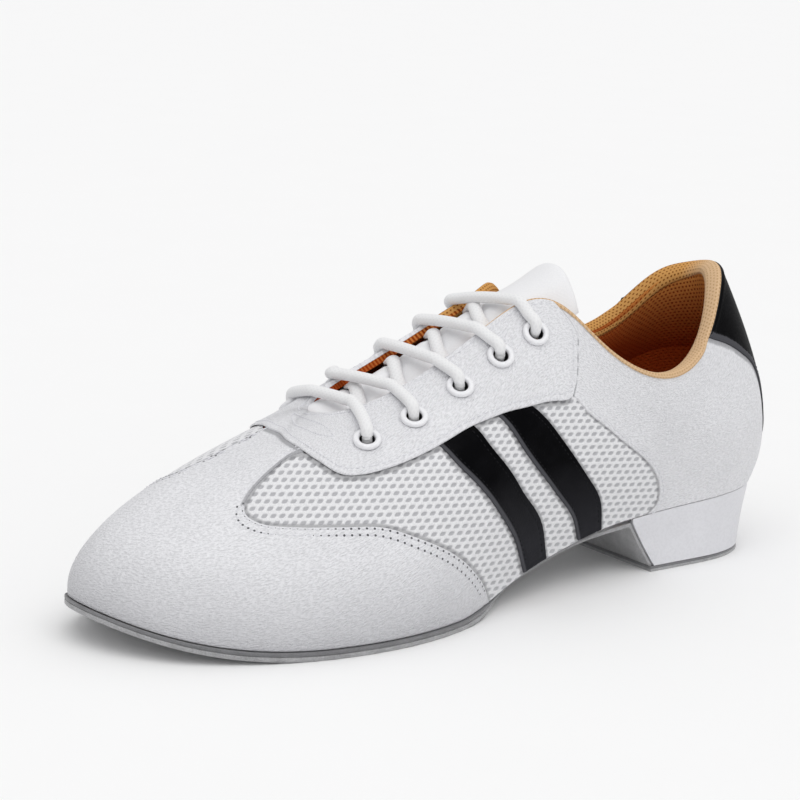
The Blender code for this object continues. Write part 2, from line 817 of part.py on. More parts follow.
def make_collar_pad():
    """Padded tan lining inside the collar, from one side of the tongue round the heel to the other."""
    outer_lift = -(LEATHER + SKIN_GAP + WALL + PAD_GAP)
    low = smooth_line(PAD_LOWER, EDGE_STEP)
    low += [(1 - turn, rise) for turn, rise in reversed(low[:-1])]
    top = [(low[-1][0], 1.0)] + along_edge(low[-1][0], low[0][0], 1.0) + [(low[0][0], 1.0)]
    outline = low + top
    places, faces = triangulate(outline, grid_points(outline, [], EDGE_CLEAR), [])
    inner_lift = []
    for turn, rise in places:
        share = math.sin(math.pi * (turn - PAD_LOWER[0][0]) / (1 - 2 * PAD_LOWER[0][0]))
        swell = math.sin(math.pi * ease(rise, PAD_FOOT, PAD_HEAD)) ** 0.5
        inner_lift.append(outer_lift - PAD_THIN - (PAD_THICK - PAD_THIN) * share ** 2 * swell)
    return sheet("collar_pad", places, faces, outer_lift, np.array(inner_lift), "tan_lining")


def turn_at(x, start, end):
    """Turn between start and end where the foot outline reaches x."""
    low, high = start, end
    rising = foot(np.array(end))[0] > foot(np.array(start))[0]
    for _ in range(40):
        middle = (low + high) / 2
        if (foot(np.array(middle))[0] < x) == rising:
            low = middle
        else:
            high = middle
    return (low + high) / 2


def sole_rows(margin, toe_x, back_x, stations):
    """Points of a sole layer at each station along the foot: outer side, inner side."""
    rows = []
    for i in range(stations + 1):
        x = toe_x + (back_x - toe_x) * (1 - math.cos(math.pi * i / stations)) / 2
        along = (BACK_X - x) / SHOE_LENGTH
        pair = []
        for start in (0.0, 1.0):
            turn = np.array(turn_at(x, start, 0.5))
            pair.append(foot(turn) + outwards(turn) * margin(along))
        rows.append(pair)
    return rows


def forefoot_margin(along):
    """The midsole shows at the forefoot and is tucked in behind it."""
    return -MIDSOLE_TUCK + (SOLE_MARGIN + MIDSOLE_TUCK) * ease(along, WAIST_FROM, WAIST_TO)


def outsole_margin(along):
    """The outsole draws in at the waist and comes back out to the heel's corners."""
    at_waist = -WAIST_INSET + (SOLE_MARGIN + WAIST_INSET) * ease(along, WAIST_FROM, WAIST_TO)
    at_heel = (WAIST_INSET - CORNER_INSET) * (1 - ease(along, BREAST_ALONG, BREAST_ALONG + WAIST_TURN))
    return at_waist + at_heel


def slab(name, rows, low, high, look):
    """A layer that follows the bottom line between two heights above it."""
    rings = []
    for outer, inner in rows:
        ring = []
        for plan, lift in ((outer, low), (inner, low), (inner, high), (outer, high)):
            ring.append((plan[0], plan[1], float(bottom_line(plan[0])) + lift))
        rings.append(ring)
    return loft(name, rings, look, 30.0)


def heel_shape(level, plan, front, back):
    """A point of the heel's seat outline carried down to a level: 0 at the seat, 1 at the cap."""
    share = (plan[0] - front) / (back - front)
    lean = HEEL_FRONT_LEAN * (1 - share) - HEEL_BACK_LEAN * share
    narrow = 1 - (1 - HEEL_TAPER) * level - HEEL_WAIST * math.sin(math.pi * level)
    return plan[0] + lean * level, plan[1] * narrow


def make_soles():
    toe_x = float(foot(np.array(0.0))[0]) + TIP
    back = float(foot(np.array(0.5))[0]) - TIP
    midsole_low = OUTSOLE + GAP
    midsole_high = midsole_low + MIDSOLE
    slab("midsole", sole_rows(forefoot_margin, toe_x, back, SOLE_STATIONS),
         midsole_low, midsole_high, "dark_board")

    front = BACK_X - BREAST_ALONG * SHOE_LENGTH
    rings = []
    for outer, inner in sole_rows(outsole_margin, toe_x, front - 2 * OUTSOLE - GAP, SOLE_STATIONS - 6):
        rings.append([(outer[0], outer[1], float(bottom_line(outer[0]))),
                      (inner[0], inner[1], float(bottom_line(inner[0]))),
                      (inner[0], inner[1], float(bottom_line(inner[0])) + OUTSOLE),
                      (outer[0], outer[1], float(bottom_line(outer[0])) + OUTSOLE)])
    seat = float(bottom_line(front)) + OUTSOLE
    cap_top = CAP_THICK + GAP
    half = abs(float(foot(np.array(turn_at(front, 0.3, 0.5)))[1])) - BREAST_INSET
    drop = seat - cap_top
    for level in (0.0, 0.35, 0.7, 1.0):
        lean = HEEL_FRONT_LEAN * level
        width = half * (1 - (1 - HEEL_TAPER) * level - HEEL_WAIST * math.sin(math.pi * level))
        near = front + lean - GAP
        far = near - OUTSOLE
        height = seat - drop * level
        low = height - (OUTSOLE if level == 0.0 else 0.0)
        rings.append([(far, -width, low), (far, width, low), (near, width, height), (near, -width, height)])
    loft("outsole", rings, "grey_suede", 30.0)

    levels = [0.0, 0.5, 1.0]
    rings = []
    for i in range(HEEL_STATIONS + 1):
        share = math.sin(0.5 * math.pi * i / HEEL_STATIONS)
        x = front + (back - front) * share
        outer = foot(np.array(turn_at(x, 0.3, 0.5))) + np.array([0.0, COVER_INSET])
        inner = foot(np.array(turn_at(x, 0.7, 0.5))) - np.array([0.0, COVER_INSET])
        down = []
        up = []
        for level in levels:
            height = float(bottom_line(x)) + OUTSOLE
            height = height + (cap_top - height) * level
            down.append(heel_shape(level, outer, front, back) + (height,))
            up.append(heel_shape(level, inner, front, back) + (height,))
        rings.append(down + list(reversed(up)))
    cross_strips("heel_block", rings, "covered_heel", 35.0)

    rings = []
    for i in range(HEEL_STATIONS + 1):
        share = math.sin(0.5 * math.pi * i / HEEL_STATIONS)
        x = front + (back - front) * share
        outer = foot(np.array(turn_at(x, 0.3, 0.5))) + np.array([0.0, CAP_INSET])
        inner = foot(np.array(turn_at(x, 0.7, 0.5))) - np.array([0.0, CAP_INSET])
        near = heel_shape(1.0, outer, front, back)
        far = heel_shape(1.0, inner, front, back)
        shift = -(OUTSOLE + GAP) * (1 - share)
        rings.append([(near[0] + shift, near[1], 0.0), (far[0] + shift, far[1], 0.0),
                      (far[0] + shift, far[1], CAP_THICK), (near[0] + shift, near[1], CAP_THICK)])
    loft("heel_cap", rings, "grey_suede", 30.0)

    insole_low = midsole_high + GAP
    rows = sole_rows(lambda along: -INSOLE_INSET, toe_x, back, SOLE_STATIONS - 8)
    slab("insole", rows, insole_low, insole_low + INSOLE, "tan_lining")


def even_points(points, count):
    """The same line with evenly spaced points."""
    points = np.array(points)
    run = np.concatenate([[0.0], np.cumsum(np.linalg.norm(np.diff(points, axis=0), axis=1))])
    wanted = np.linspace(0.0, run[-1], count)
    return np.stack([np.interp(wanted, run, points[:, axis]) for axis in range(3)], 1)


def tongue_row(turn, low_rise):
    """Points across the tongue at one section pair, under both facings and over the gap between them."""
    depth = -(LEATHER + SKIN_GAP + WALL + TONGUE_GAP)
    rises = np.linspace(low_rise, 1.0, 5)
    outer = [lifted(turn, rise, depth) for rise in rises]
    inner = [lifted(-turn, rise, depth - TONGUE_SINK) for rise in rises]
    span = np.linalg.norm(outer[-1] - inner[-1])
    outer_run = outer[-1] - outer[-2]
    inner_run = inner[-1] - inner[-2]
    outer_run = outer_run / np.linalg.norm(outer_run) * span / 4
    inner_run = inner_run / np.linalg.norm(inner_run) * span / 4
    middle = []
    for t in np.linspace(0, 1, 10)[1:-1]:
        middle.append(outer[-1] * (1 - t) ** 3 + 3 * (outer[-1] + outer_run) * t * (1 - t) ** 2
                      + 3 * (inner[-1] + inner_run) * t * t * (1 - t) + inner[-1] * t ** 3)
    return even_points(outer + middle + list(reversed(inner)), 9)


def make_tongue():
    rows = [tongue_row(turn, low_rise) for turn, low_rise in TONGUE_ROWS]
    last = rows[-1]
    crown = last[len(last) // 2]
    for forward, up, width, bow in TONGUE_TIP:
        shares = np.array([bow, width, bow])
        rows.append(crown + (last - crown) * shares + np.array([forward, 0.0, up]) * TONGUE_FREE)
    rings = []
    for i, row in enumerate(rows):
        before = rows[max(i - 1, 0)]
        after = rows[min(i + 1, len(rows) - 1)]
        below = []
        for j, point in enumerate(row):
            across = row[min(j + 1, len(row) - 1)] - row[max(j - 1, 0)]
            along = after[j] - before[j]
            normal = np.cross(across, along)
            normal /= np.linalg.norm(normal)
            if normal[2] > 0:
                normal = -normal
            edge = TONGUE_EDGE if j in (0, len(row) - 1) else 1.0
            below.append(point + normal * TONGUE * edge)
        rings.append(list(row) + list(reversed(below)))
    return cross_strips("tongue", rings, "white_twill")


def eyelet_frame(place):
    """Centre and outward normal of an eyelet, seated just above the eyestay."""
    normal = surface_normal(place[0], place[1])
    centre = last_surface(place[0], place[1]) + normal * (EYESTAY_LIFT + GAP + EYELET_SEAT)
    return centre, normal


def make_eyelet(name, place):
    """A turned ring: a rounded flange on the eyestay with a barrel down through the wall."""
    centre, normal = eyelet_frame(place)
    side = np.cross(normal, np.array([1.0, 0.0, 0.0]))
    side /= np.linalg.norm(side)
    other = np.cross(normal, side)
    barrel_end = -(EYELET_SEAT + GAP + EYESTAY_LIFT + LEATHER + SKIN_GAP + WALL * 0.8)
    profile = [
        (EYELET_HOLE, barrel_end),
        (EYELET_BARREL, barrel_end),
        (EYELET_BARREL, 0.0),
        (EYELET_OUTER, 0.0),
        (EYELET_OUTER * 0.8, EYELET_RIM),
        (EYELET_HOLE, EYELET_RIM * 0.6),
    ]
    vertices = []
    faces = []
    for i in range(RING_SIDES):
        angle = 2 * math.pi * i / RING_SIDES
        ray = side * math.cos(angle) + other * math.sin(angle)
        for radius, height in profile:
            vertices.append(centre + ray * radius + normal * height)
    size = len(profile)
    for i in range(RING_SIDES):
        k = (i + 1) % RING_SIDES
        for j in range(size):
            m = (j + 1) % size
            faces.append((i * size + j, i * size + m, k * size + m, k * size + j))
    return add_object(name, vertices, faces, "white_enamel", 50.0)


def lace_end(place):
    """Centre of the lace where it rests on an eyelet, and the way up the facing from there."""
    centre, normal = eyelet_frame(place)
    rest = centre + normal * (EYELET_RIM + LACE_CLEAR + LACE_RADIUS)
    step = 0.02
    climb = last_surface(place[0], place[1] + step) - last_surface(place[0], place[1] - step)
    return rest, climb / np.linalg.norm(climb), normal


def lace_tube(name, start, end, reach, arch, stations):
    first, first_climb, first_normal = lace_end(start)
    last, last_climb, last_normal = lace_end(end)
    span = np.linalg.norm(last - first)
    a = first + first_climb * span * reach[0] + first_normal * arch[0]
    b = last + last_climb * span * reach[1] + last_normal * arch[1]
    points = []
    for i in range(stations + 1):
        t = i / stations
        points.append(first * (1 - t) ** 3 + 3 * a * t * (1 - t) ** 2 + 3 * b * t * t * (1 - t) + last * t ** 3)
    rings = []
    for i, point in enumerate(points):
        run = points[min(i + 1, stations)] - points[max(i - 1, 0)]
        run /= np.linalg.norm(run)
        level = np.cross(np.array([0.0, 0.0, 1.0]), run)
        level /= np.linalg.norm(level)
        upper_way = np.cross(run, level)
        ring = []
        for j in range(CORD_SIDES):
            angle = 2 * math.pi * (j + 0.5) / CORD_SIDES
            ring.append(point + (level * math.cos(angle) + upper_way * math.sin(angle)) * LACE_RADIUS)
        rings.append(ring)
    return loft(name, rings, "white_cord", 60.0)


def make_laces():
    """Five bars across the throat and the slanting runs between them, joined into one solid."""
    base = None
    cutters = []
    for i, place in enumerate(EYELETS):
        far = (-place[0], place[1])
        bar = lace_tube("laces" if i == 0 else "lace_bar_%d" % i, place, far, BAR_REACH, BAR_ARCH, 7)
        if i == 0:
            base = bar
        else:
            cutters.append(bar)
    for i in range(len(EYELETS) - 1):
        far = (-EYELETS[i][0], EYELETS[i][1])
        cutters.append(lace_tube("lace_slant_%d" % i, EYELETS[i + 1], far, SLANT_REACH, SLANT_ARCH, 6))
    for piece in cutters:
        piece.hide_render = True
        piece.display_type = "WIRE"
        union = base.modifiers.new("join " + piece.name, "BOOLEAN")
        union.operation = "UNION"
        union.solver = "EXACT"
        union.object = piece
    return base


def build():
    clear_scene()
    make_upper()
    make_overlays()
    make_collar_pad()
    make_soles()
    make_tongue()
    for number, place in enumerate(EYELETS, 1):
        make_eyelet("eyelet_outer_%d" % number, place)
        make_eyelet("eyelet_inner_%d" % number, (-place[0], place[1]))
    make_laces()


build()
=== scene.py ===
"""Looks of the dance sneaker: a left shoe in white leather and mesh on a low heel block.

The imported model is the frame, in metres, with the toe to -X and the outer side to -Y.
Inside the functions lengths are millimetres, and every mesh is scaled to metres when it is made.
"""
import math

import bpy
import bmesh
import numpy as np
from mathutils import Matrix, Vector
from mathutils.geometry import delaunay_2d_cdt


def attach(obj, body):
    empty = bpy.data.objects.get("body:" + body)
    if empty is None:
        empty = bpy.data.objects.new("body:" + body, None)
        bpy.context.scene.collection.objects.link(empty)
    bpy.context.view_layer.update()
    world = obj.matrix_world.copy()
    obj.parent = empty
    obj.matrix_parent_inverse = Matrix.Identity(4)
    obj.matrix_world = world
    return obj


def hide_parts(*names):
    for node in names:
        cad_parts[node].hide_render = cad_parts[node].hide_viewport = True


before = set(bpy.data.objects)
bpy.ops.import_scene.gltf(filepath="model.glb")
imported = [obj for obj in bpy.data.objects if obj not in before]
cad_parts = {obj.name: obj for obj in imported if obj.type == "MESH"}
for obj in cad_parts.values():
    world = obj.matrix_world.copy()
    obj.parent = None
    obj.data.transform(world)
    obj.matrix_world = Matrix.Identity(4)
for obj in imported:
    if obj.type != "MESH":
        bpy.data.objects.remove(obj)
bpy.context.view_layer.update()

MM = 0.001
UP = np.array([0.0, 0.0, 1.0])

# Main sizes of the shoe, as in the solids
SHOE_LENGTH = 262.0
BALL_WIDTH = 93.0
HEEL_WIDTH = 60.0
BACK_X = 33.0
TOP_HEIGHT = 96.0
HEEL_RISE = 20.5
TOE_SPRING = 12.0
TOE_FROM = 0.74
TOE_CURVE = 2.6
SOLE_BUILD = 3.0

# Foot outline: share of the length from the back, share of the local width outwards
FOOT_OUTLINE = [
    (0.986, 0.030), (0.972, -0.120), (0.930, -0.300), (0.855, -0.450), (0.760, -0.540),
    (0.660, -0.560), (0.565, -0.505), (0.470, -0.415), (0.370, -0.400), (0.270, -0.440),
    (0.170, -0.475), (0.080, -0.440), (0.018, -0.290), (-0.006, 0.000), (0.018, 0.290),
    (0.080, 0.440), (0.170, 0.475), (0.270, 0.415), (0.370, 0.320), (0.480, 0.285),
    (0.590, 0.370), (0.680, 0.445), (0.770, 0.462), (0.860, 0.405), (0.930, 0.290),
    (0.972, 0.165),
]

# Seat line: share of the length, share of HEEL_RISE
SEAT_LINE = [
    (-0.02, 1.0), (0.00, 1.0), (0.14, 0.95), (0.27, 0.82), (0.36, 0.58), (0.44, 0.30),
    (0.51, 0.08), (0.57, 0.0), (1.00, 0.0),
]

# Top edge: turn round the foot, shares of length, ball width and height
TOP_EDGE = [
    (0.000, 0.676, 0.000, 0.672), (0.100, 0.668, -0.055, 0.672), (0.155, 0.625, -0.115, 0.695),
    (0.205, 0.540, -0.135, 0.785), (0.250, 0.450, -0.142, 0.922), (0.282, 0.385, -0.158, 1.000),
    (0.303, 0.350, -0.205, 0.980), (0.330, 0.310, -0.290, 0.860), (0.370, 0.240, -0.345, 0.735),
    (0.410, 0.165, -0.310, 0.740), (0.445, 0.105, -0.225, 0.850), (0.472, 0.060, -0.115, 0.970),
    (0.500, 0.028, 0.030, 1.030), (0.522, 0.042, 0.140, 1.015), (0.542, 0.075, 0.225, 0.970),
    (0.560, 0.110, 0.290, 0.868), (0.590, 0.160, 0.335, 0.775), (0.630, 0.240, 0.350, 0.750),
    (0.670, 0.310, 0.295, 0.860), (0.697, 0.350, 0.205, 0.985), (0.718, 0.385, 0.158, 1.000),
    (0.750, 0.450, 0.142, 0.935), (0.795, 0.540, 0.135, 0.828), (0.845, 0.625, 0.115, 0.738),
    (0.900, 0.668, 0.055, 0.690),
]

# Bow of each section: turn, then shares outwards and upwards at the foot and at the top edge
SECTION_BOW = [
    (0.000, 0.032, 0.250, 0.280, -0.094), (0.060, 0.032, 0.240, 0.280, -0.083),
    (0.130, 0.065, 0.250, 0.280, -0.052), (0.190, 0.075, 0.270, 0.280, -0.052),
    (0.250, 0.086, 0.354, 0.237, -0.104), (0.300, 0.108, 0.354, 0.172, -0.229),
    (0.350, 0.097, 0.250, 0.043, -0.188), (0.400, 0.086, 0.250, 0.032, -0.188),
    (0.450, 0.097, 0.229, 0.108, -0.270), (0.500, 0.108, 0.229, 0.183, -0.354),
    (0.550, 0.097, 0.229, 0.108, -0.270), (0.600, 0.086, 0.250, 0.032, -0.188),
    (0.650, 0.097, 0.250, 0.043, -0.188), (0.700, 0.108, 0.354, 0.140, -0.240),
    (0.750, 0.086, 0.354, 0.180, -0.170), (0.810, 0.075, 0.270, 0.215, -0.130),
    (0.870, 0.065, 0.250, 0.250, -0.110), (0.940, 0.032, 0.240, 0.280, -0.083),
]

# Panel edges as turn and rise
MESH_LOWER = [
    (0.0605, 0.545), (0.0635, 0.520), (0.0695, 0.496), (0.084, 0.475), (0.107, 0.470),
    (0.132, 0.462), (0.157, 0.440), (0.178, 0.376), (0.206, 0.262), (0.236, 0.108), (0.252, 0.000),
]
MESH_FRONT = [
    (0.0605, 0.545), (0.0585, 0.600), (0.0605, 0.672), (0.067, 0.742), (0.082, 0.772),
]
MESH_LOWER_INNER = [
    (0.024, 0.530), (0.042, 0.475), (0.070, 0.446), (0.104, 0.450), (0.135, 0.450),
    (0.162, 0.422), (0.180, 0.358), (0.207, 0.250), (0.236, 0.100), (0.252, 0.000),
]
MESH_FRONT_INNER = [
    (0.024, 0.530), (0.014, 0.575), (0.0105, 0.630), (0.009, 0.700), (0.010, 0.770), (0.014, 0.846),
]
MESH_REAR = [
    (0.376, 0.000), (0.381, 0.060), (0.376, 0.225), (0.361, 0.404), (0.336, 0.535), (0.312, 0.575),
]
EYESTAY_LOWER = [
    (0.000, 0.850), (0.027, 0.842), (0.071, 0.792), (0.102, 0.728), (0.126, 0.660), (0.142, 0.646),
    (0.160, 0.648), (0.193, 0.660), (0.213, 0.662), (0.235, 0.634), (0.262, 0.592), (0.290, 0.583),
]
EYESTAY_REAR = [
    (0.298, 0.605), (0.301, 0.660), (0.305, 0.800), (0.308, 0.900), (0.303, 0.950), (0.297, 1.000),
]
BANDS = [
    (
        [(0.193, 0.660), (0.2075, 0.525), (0.236, 0.333), (0.266, 0.158), (0.284, 0.006)],
        [(0.216, 0.660), (0.231, 0.517), (0.259, 0.338), (0.287, 0.179), (0.302, 0.006)],
    ),
    (
        [(0.233, 0.637), (0.2575, 0.454), (0.293, 0.267), (0.314, 0.138), (0.325, 0.006)],
        [(0.262, 0.592), (0.2875, 0.471), (0.315, 0.329), (0.333, 0.192), (0.342, 0.006)],
    ),
]
TAB_EDGE = [
    (0.4367, 1.000), (0.4525, 0.870), (0.4640, 0.750), (0.4730, 0.640), (0.4780, 0.510),
    (0.4785, 0.400), (0.4770, 0.290), (0.4800, 0.215), (0.4890, 0.178), (0.5000, 0.168),
]
# Eyelets as turn and rise, the top pair first
EYELETS = [(0.2725, 0.850), (0.2442, 0.838), (0.2142, 0.829), (0.1817, 0.812), (0.1467, 0.783)]
# How far toward the toe each bar of the lace crosses the inner throat edge, in turns
BAR_SLIPS = [0.013, 0.008, 0.007, 0.017, 0.017]
# Tongue: turn and lowest rise of each row, then the free tip's shares forward, up, of width and of bow
TONGUE_ROWS = [
    (0.085, 0.950), (0.110, 0.900), (0.145, 0.840), (0.180, 0.790),
    (0.215, 0.780), (0.245, 0.800), (0.268, 0.830), (0.280, 0.880),
]
TONGUE_TIP = [
    (0.25, 0.10, 1.00, 1.12), (0.50, 0.22, 1.00, 1.24), (0.75, 0.36, 1.00, 1.36),
    (0.95, 0.48, 0.98, 1.46), (1.08, 0.54, 0.93, 1.50),
]

# Layers of the upper, as distances out of the leather's outer face, in millimetres
LEATHER_BACK = -0.85
WALL_OUT = -0.95
LINING_IN = -2.95
STAY_TOP = 0.6
STAY_UNDER = 0.03
BAND_TOP = 0.1
BAND_UNDER = -0.30
TAB_TOP = 0.8
TAB_UNDER = 0.05
TUCK = 3.0
BREAST_ALONG = 0.250
EYELET_BORE = 3.5

# Eyelets and lace in millimetres
EYELET_OUTER = 4.5
EYELET_HOLE = 2.45
EYELET_RIM = 0.9
EYELET_LIFT = 1.25
LACE_RADIUS = 2.0
LACE_NECK = 1.65
LACE_FLAT = 0.95

# Tongue and heel in millimetres
TONGUE_THICK = 2.4
TONGUE_FREE = 17.0
CAP_TOP = 2.0

# Knitted mesh: pitch of its openings along and up the cloth, their half sizes as shares of it
MESH_PITCH = (2.71, 2.15)
MESH_SIZE = (0.34, 0.33)
MESH_SHEAR = 0.12
MESH_LEAN = 0.28
# The cloth is pulled over the last as a flat sheet that faces the front quarter of the shoe
CLOTH_ALONG = np.array([0.829, -0.559, 0.0])
CLOTH_UP = np.array([0.107, 0.191, 0.976])
KNIT_PITCH = (1.55, 1.25)


def monotone_curve(rows):
    """A curve through the rows of a two-column table that never overshoots them."""
    xs = np.array([row[0] for row in rows], float)
    ys = np.array([row[1] for row in rows], float)
    steps = np.diff(xs)
    slopes = np.diff(ys) / steps
    tangents = np.zeros(len(xs))
    for i in range(1, len(xs) - 1):
        if slopes[i - 1] * slopes[i] > 0:
            before = 2 * steps[i] + steps[i - 1]
            after = steps[i] + 2 * steps[i - 1]
            tangents[i] = (before + after) / (before / slopes[i - 1] + after / slopes[i])

    def curve(x):
        x = np.clip(np.asarray(x, float), xs[0], xs[-1])
        i = np.clip(np.searchsorted(xs, x, side="right") - 1, 0, len(steps) - 1)
        t = (x - xs[i]) / steps[i]
        start = ys[i] * (1 + 2 * t) * (1 - t) ** 2 + steps[i] * tangents[i] * t * (1 - t) ** 2
        end = ys[i + 1] * t * t * (3 - 2 * t) + steps[i] * tangents[i + 1] * t * t * (t - 1)
        return start + end

    return curve


def cyclic_curve(knots, values):
    """A closed cubic spline through values, over one turn."""
    knots = np.array(knots, float)
    values = np.array(values, float)
    count = len(knots)
    steps = np.diff(np.append(knots, knots[0] + 1.0))
    slopes = (np.roll(values, -1, 0) - values) / steps[:, None]
    matrix = np.zeros((count, count))
    right = np.zeros_like(values)
    for i in range(count):
        matrix[i, (i - 1) % count] += steps[i - 1]
        matrix[i, i] += 2 * (steps[i - 1] + steps[i])
        matrix[i, (i + 1) % count] += steps[i]
        right[i] = 6 * (slopes[i] - slopes[i - 1])
    bends = np.linalg.solve(matrix, right)

    def curve(turn):
        turn = np.mod(np.asarray(turn, float) - knots[0], 1.0) + knots[0]
        i = np.clip(np.searchsorted(knots, turn, side="right") - 1, 0, count - 1)
        j = (i + 1) % count
        done = (turn - knots[i])[..., None]
        step = steps[i][..., None]
        left = step - done
        bend = (bends[i] * left ** 3 + bends[j] * done ** 3) / (6 * step)
        start = (values[i] / step - bends[i] * step / 6) * left
        end = (values[j] / step - bends[j] * step / 6) * done
        return bend + start + end

    return curve


seat_share = monotone_curve(SEAT_LINE)


def smooth_step(value, low, high):
    share = np.clip((np.asarray(value, float) - low) / (high - low), 0.0, 1.0)
    return share * share * (3 - 2 * share)


def bottom_line(x):
    """Height of the sole's underside above the floor."""
    along = (BACK_X - np.asarray(x, float)) / SHOE_LENGTH
    lift = np.clip(along - TOE_FROM, 0, None) / (1 - TOE_FROM)
    return HEEL_RISE * seat_share(along) + TOE_SPRING * lift ** TOE_CURVE


def make_foot_curve():
    points = []
    for along, out in FOOT_OUTLINE:
        width = HEEL_WIDTH + (BALL_WIDTH - HEEL_WIDTH) * float(smooth_step(along, 0.15, 0.60))
        points.append((BACK_X - along * SHOE_LENGTH, out * width))
    points = np.array(points)
    heel = min(range(len(FOOT_OUTLINE)), key=lambda i: FOOT_OUTLINE[i][0])
    run = np.linalg.norm(np.roll(points, -1, 0) - points, axis=1)
    run = np.concatenate([[0.0], np.cumsum(run)])
    outer, whole = run[heel], run[-1]
    knots = [0.5 * r / outer if r <= outer else 0.5 + 0.5 * (r - outer) / (whole - outer) for r in run[:-1]]
    return cyclic_curve(knots, points), whole


foot, GIRTH = make_foot_curve()
REACH = 0.8 * TOP_HEIGHT
SCALE = np.array([GIRTH, REACH])
top_edge = cyclic_curve(
    [row[0] for row in TOP_EDGE],
    [(BACK_X - row[1] * SHOE_LENGTH, row[2] * BALL_WIDTH, row[3] * TOP_HEIGHT) for row in TOP_EDGE],
)
section_bow = cyclic_curve([row[0] for row in SECTION_BOW], [row[1:] for row in SECTION_BOW])


def outwards(turn):
    step = 1e-3
    run = foot(turn + step) - foot(turn - step)
    run /= np.linalg.norm(run, axis=-1, keepdims=True)
    return np.stack([run[..., 1], -run[..., 0]], -1)


def cubic(start, first, second, end, t):
    """Place at share t along a curve with two ends and two handles."""
    return start * (1 - t) ** 3 + 3 * first * t * (1 - t) ** 2 + 3 * second * t * t * (1 - t) + end * t ** 3


def last_surface(turn, rise):
    """Outer face of the leather, from the foot outline (rise 0) to the top edge (rise 1)."""
    turn, rise = np.broadcast_arrays(np.asarray(turn, float), np.asarray(rise, float))
    plan = foot(turn)
    bow = section_bow(turn)
    out = np.concatenate([outwards(turn), np.zeros(turn.shape + (1,))], -1)
    height = bottom_line(plan[..., 0]) + SOLE_BUILD
    start = np.concatenate([plan, height[..., None]], -1)
    end = top_edge(turn)
    first = start + out * bow[..., 0:1] * BALL_WIDTH + UP * bow[..., 1:2] * TOP_HEIGHT
    second = end + out * bow[..., 2:3] * BALL_WIDTH + UP * bow[..., 3:4] * TOP_HEIGHT
    return cubic(start, first, second, end, rise[..., None])


def unit(vectors):
    return vectors / np.linalg.norm(vectors, axis=-1, keepdims=True)


def run_along(points):
    """Length of a line of points up to each of them."""
    return np.concatenate([[0.0], np.cumsum(np.linalg.norm(np.diff(points, axis=0), axis=1))])


def climb_at(turn, rise):
    """Unit vector up the surface."""
    step = 2e-3
    high = np.clip(np.asarray(rise, float) + step, 0, 1)
    low = np.clip(np.asarray(rise, float) - step, 0, 1)
    return unit(last_surface(turn, high) - last_surface(turn, low))


def surface_normal(turn, rise):
    step = 2e-3
    turn = np.asarray(turn, float)
    along = last_surface(turn + step, rise) - last_surface(turn - step, rise)
    return unit(np.cross(along, climb_at(turn, rise)))


def lifted(turn, rise, lift):
    """A point at this lift from the leather's outer face, inwards when negative."""
    lift = np.asarray(lift, float)
    return last_surface(turn, rise) + surface_normal(turn, rise) * lift[..., None]


def throat_dip(turn, rise):
    """How far the inner facing sinks along the throat, in millimetres."""
    inner = smooth_step(-turn, 0.06, 0.10) * (1 - smooth_step(-turn, 0.27, 0.295))
    return 1.6 * inner * smooth_step(rise, 0.88, 1.0)


def add_piece(name, vertices, faces, look, replaces=(), plane=None, sharp=40.0, keep_normals=False,
              marks=None):
    """A piece in metres that rides on the shoe, with flat-sheet coordinates for its pattern."""
    mesh = bpy.data.meshes.new(name)
    places = (np.asarray(vertices, float) * MM).tolist()
    mesh.from_pydata(places, [], [list(map(int, face)) for face in faces])
    if plane is not None:
        layer = mesh.uv_layers.new(name="plane")
        index = np.zeros(len(mesh.loops), np.int32)
        mesh.loops.foreach_get("vertex_index", index)
        layer.data.foreach_set("uv", np.asarray(plane, np.float32)[index].ravel())
    for key, values in (marks or {}).items():
        field = mesh.attributes.new(key, "FLOAT", "POINT")
        field.data.foreach_set("value", np.asarray(values, np.float32))
    if not keep_normals:
        shell = bmesh.new()
        shell.from_mesh(mesh)
        bmesh.ops.remove_doubles(shell, verts=shell.verts, dist=1e-7)
        bmesh.ops.recalc_face_normals(shell, faces=shell.faces)
        shell.to_mesh(mesh)
        shell.free()
    mesh.shade_smooth()
    if sharp < 180:
        mesh.set_sharp_from_angle(angle=math.radians(sharp))
    mesh.materials.append(look)
    made = bpy.data.objects.new(name, mesh)
    bpy.context.scene.collection.objects.link(made)
    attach(made, "root")
    if replaces:
        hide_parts(*replaces)
    return made


def ring_faces(rings, size, closed=True):
    """Quads between rings of equal size, joined round when closed."""
    faces = []
    last = size if closed else size - 1
    for i in range(rings - 1):
        for j in range(last):
            k = (j + 1) % size
            faces.append((i * size + j, i * size + k, (i + 1) * size + k, (i + 1) * size + j))
    return faces


def in_plane(points):
    return np.asarray(points, float) * SCALE


def smooth_line(rows, step):
    """Points at about this step along a rounded line through rows of turn and rise."""
    rows = [Vector((row[0] * GIRTH, row[1] * REACH)) for row in rows]
    padded = [2 * rows[0] - rows[1]] + rows + [2 * rows[-1] - rows[-2]]
    points = []
    for i in range(1, len(padded) - 2):
        before, start, end, after = padded[i - 1:i + 3]
        pieces = max(1, round((end - start).length / step))
        for j in range(pieces):
            t = j / pieces
            first = (end - before) * 0.5
            last = (after - start) * 0.5
            point = start * (1 + 2 * t) * (1 - t) ** 2 + first * t * (1 - t) ** 2
            point += end * t * t * (3 - 2 * t) + last * t * t * (t - 1)
            points.append((point.x / GIRTH, point.y / REACH))
    points.append((rows[-1].x / GIRTH, rows[-1].y / REACH))
    return points


def mirrored(points):
    return [(-turn, rise) for turn, rise in points]


def across_heel(points):
    """The same places on the inner side, counted on past the heel."""
    return [(1 - turn, rise) for turn, rise in points]


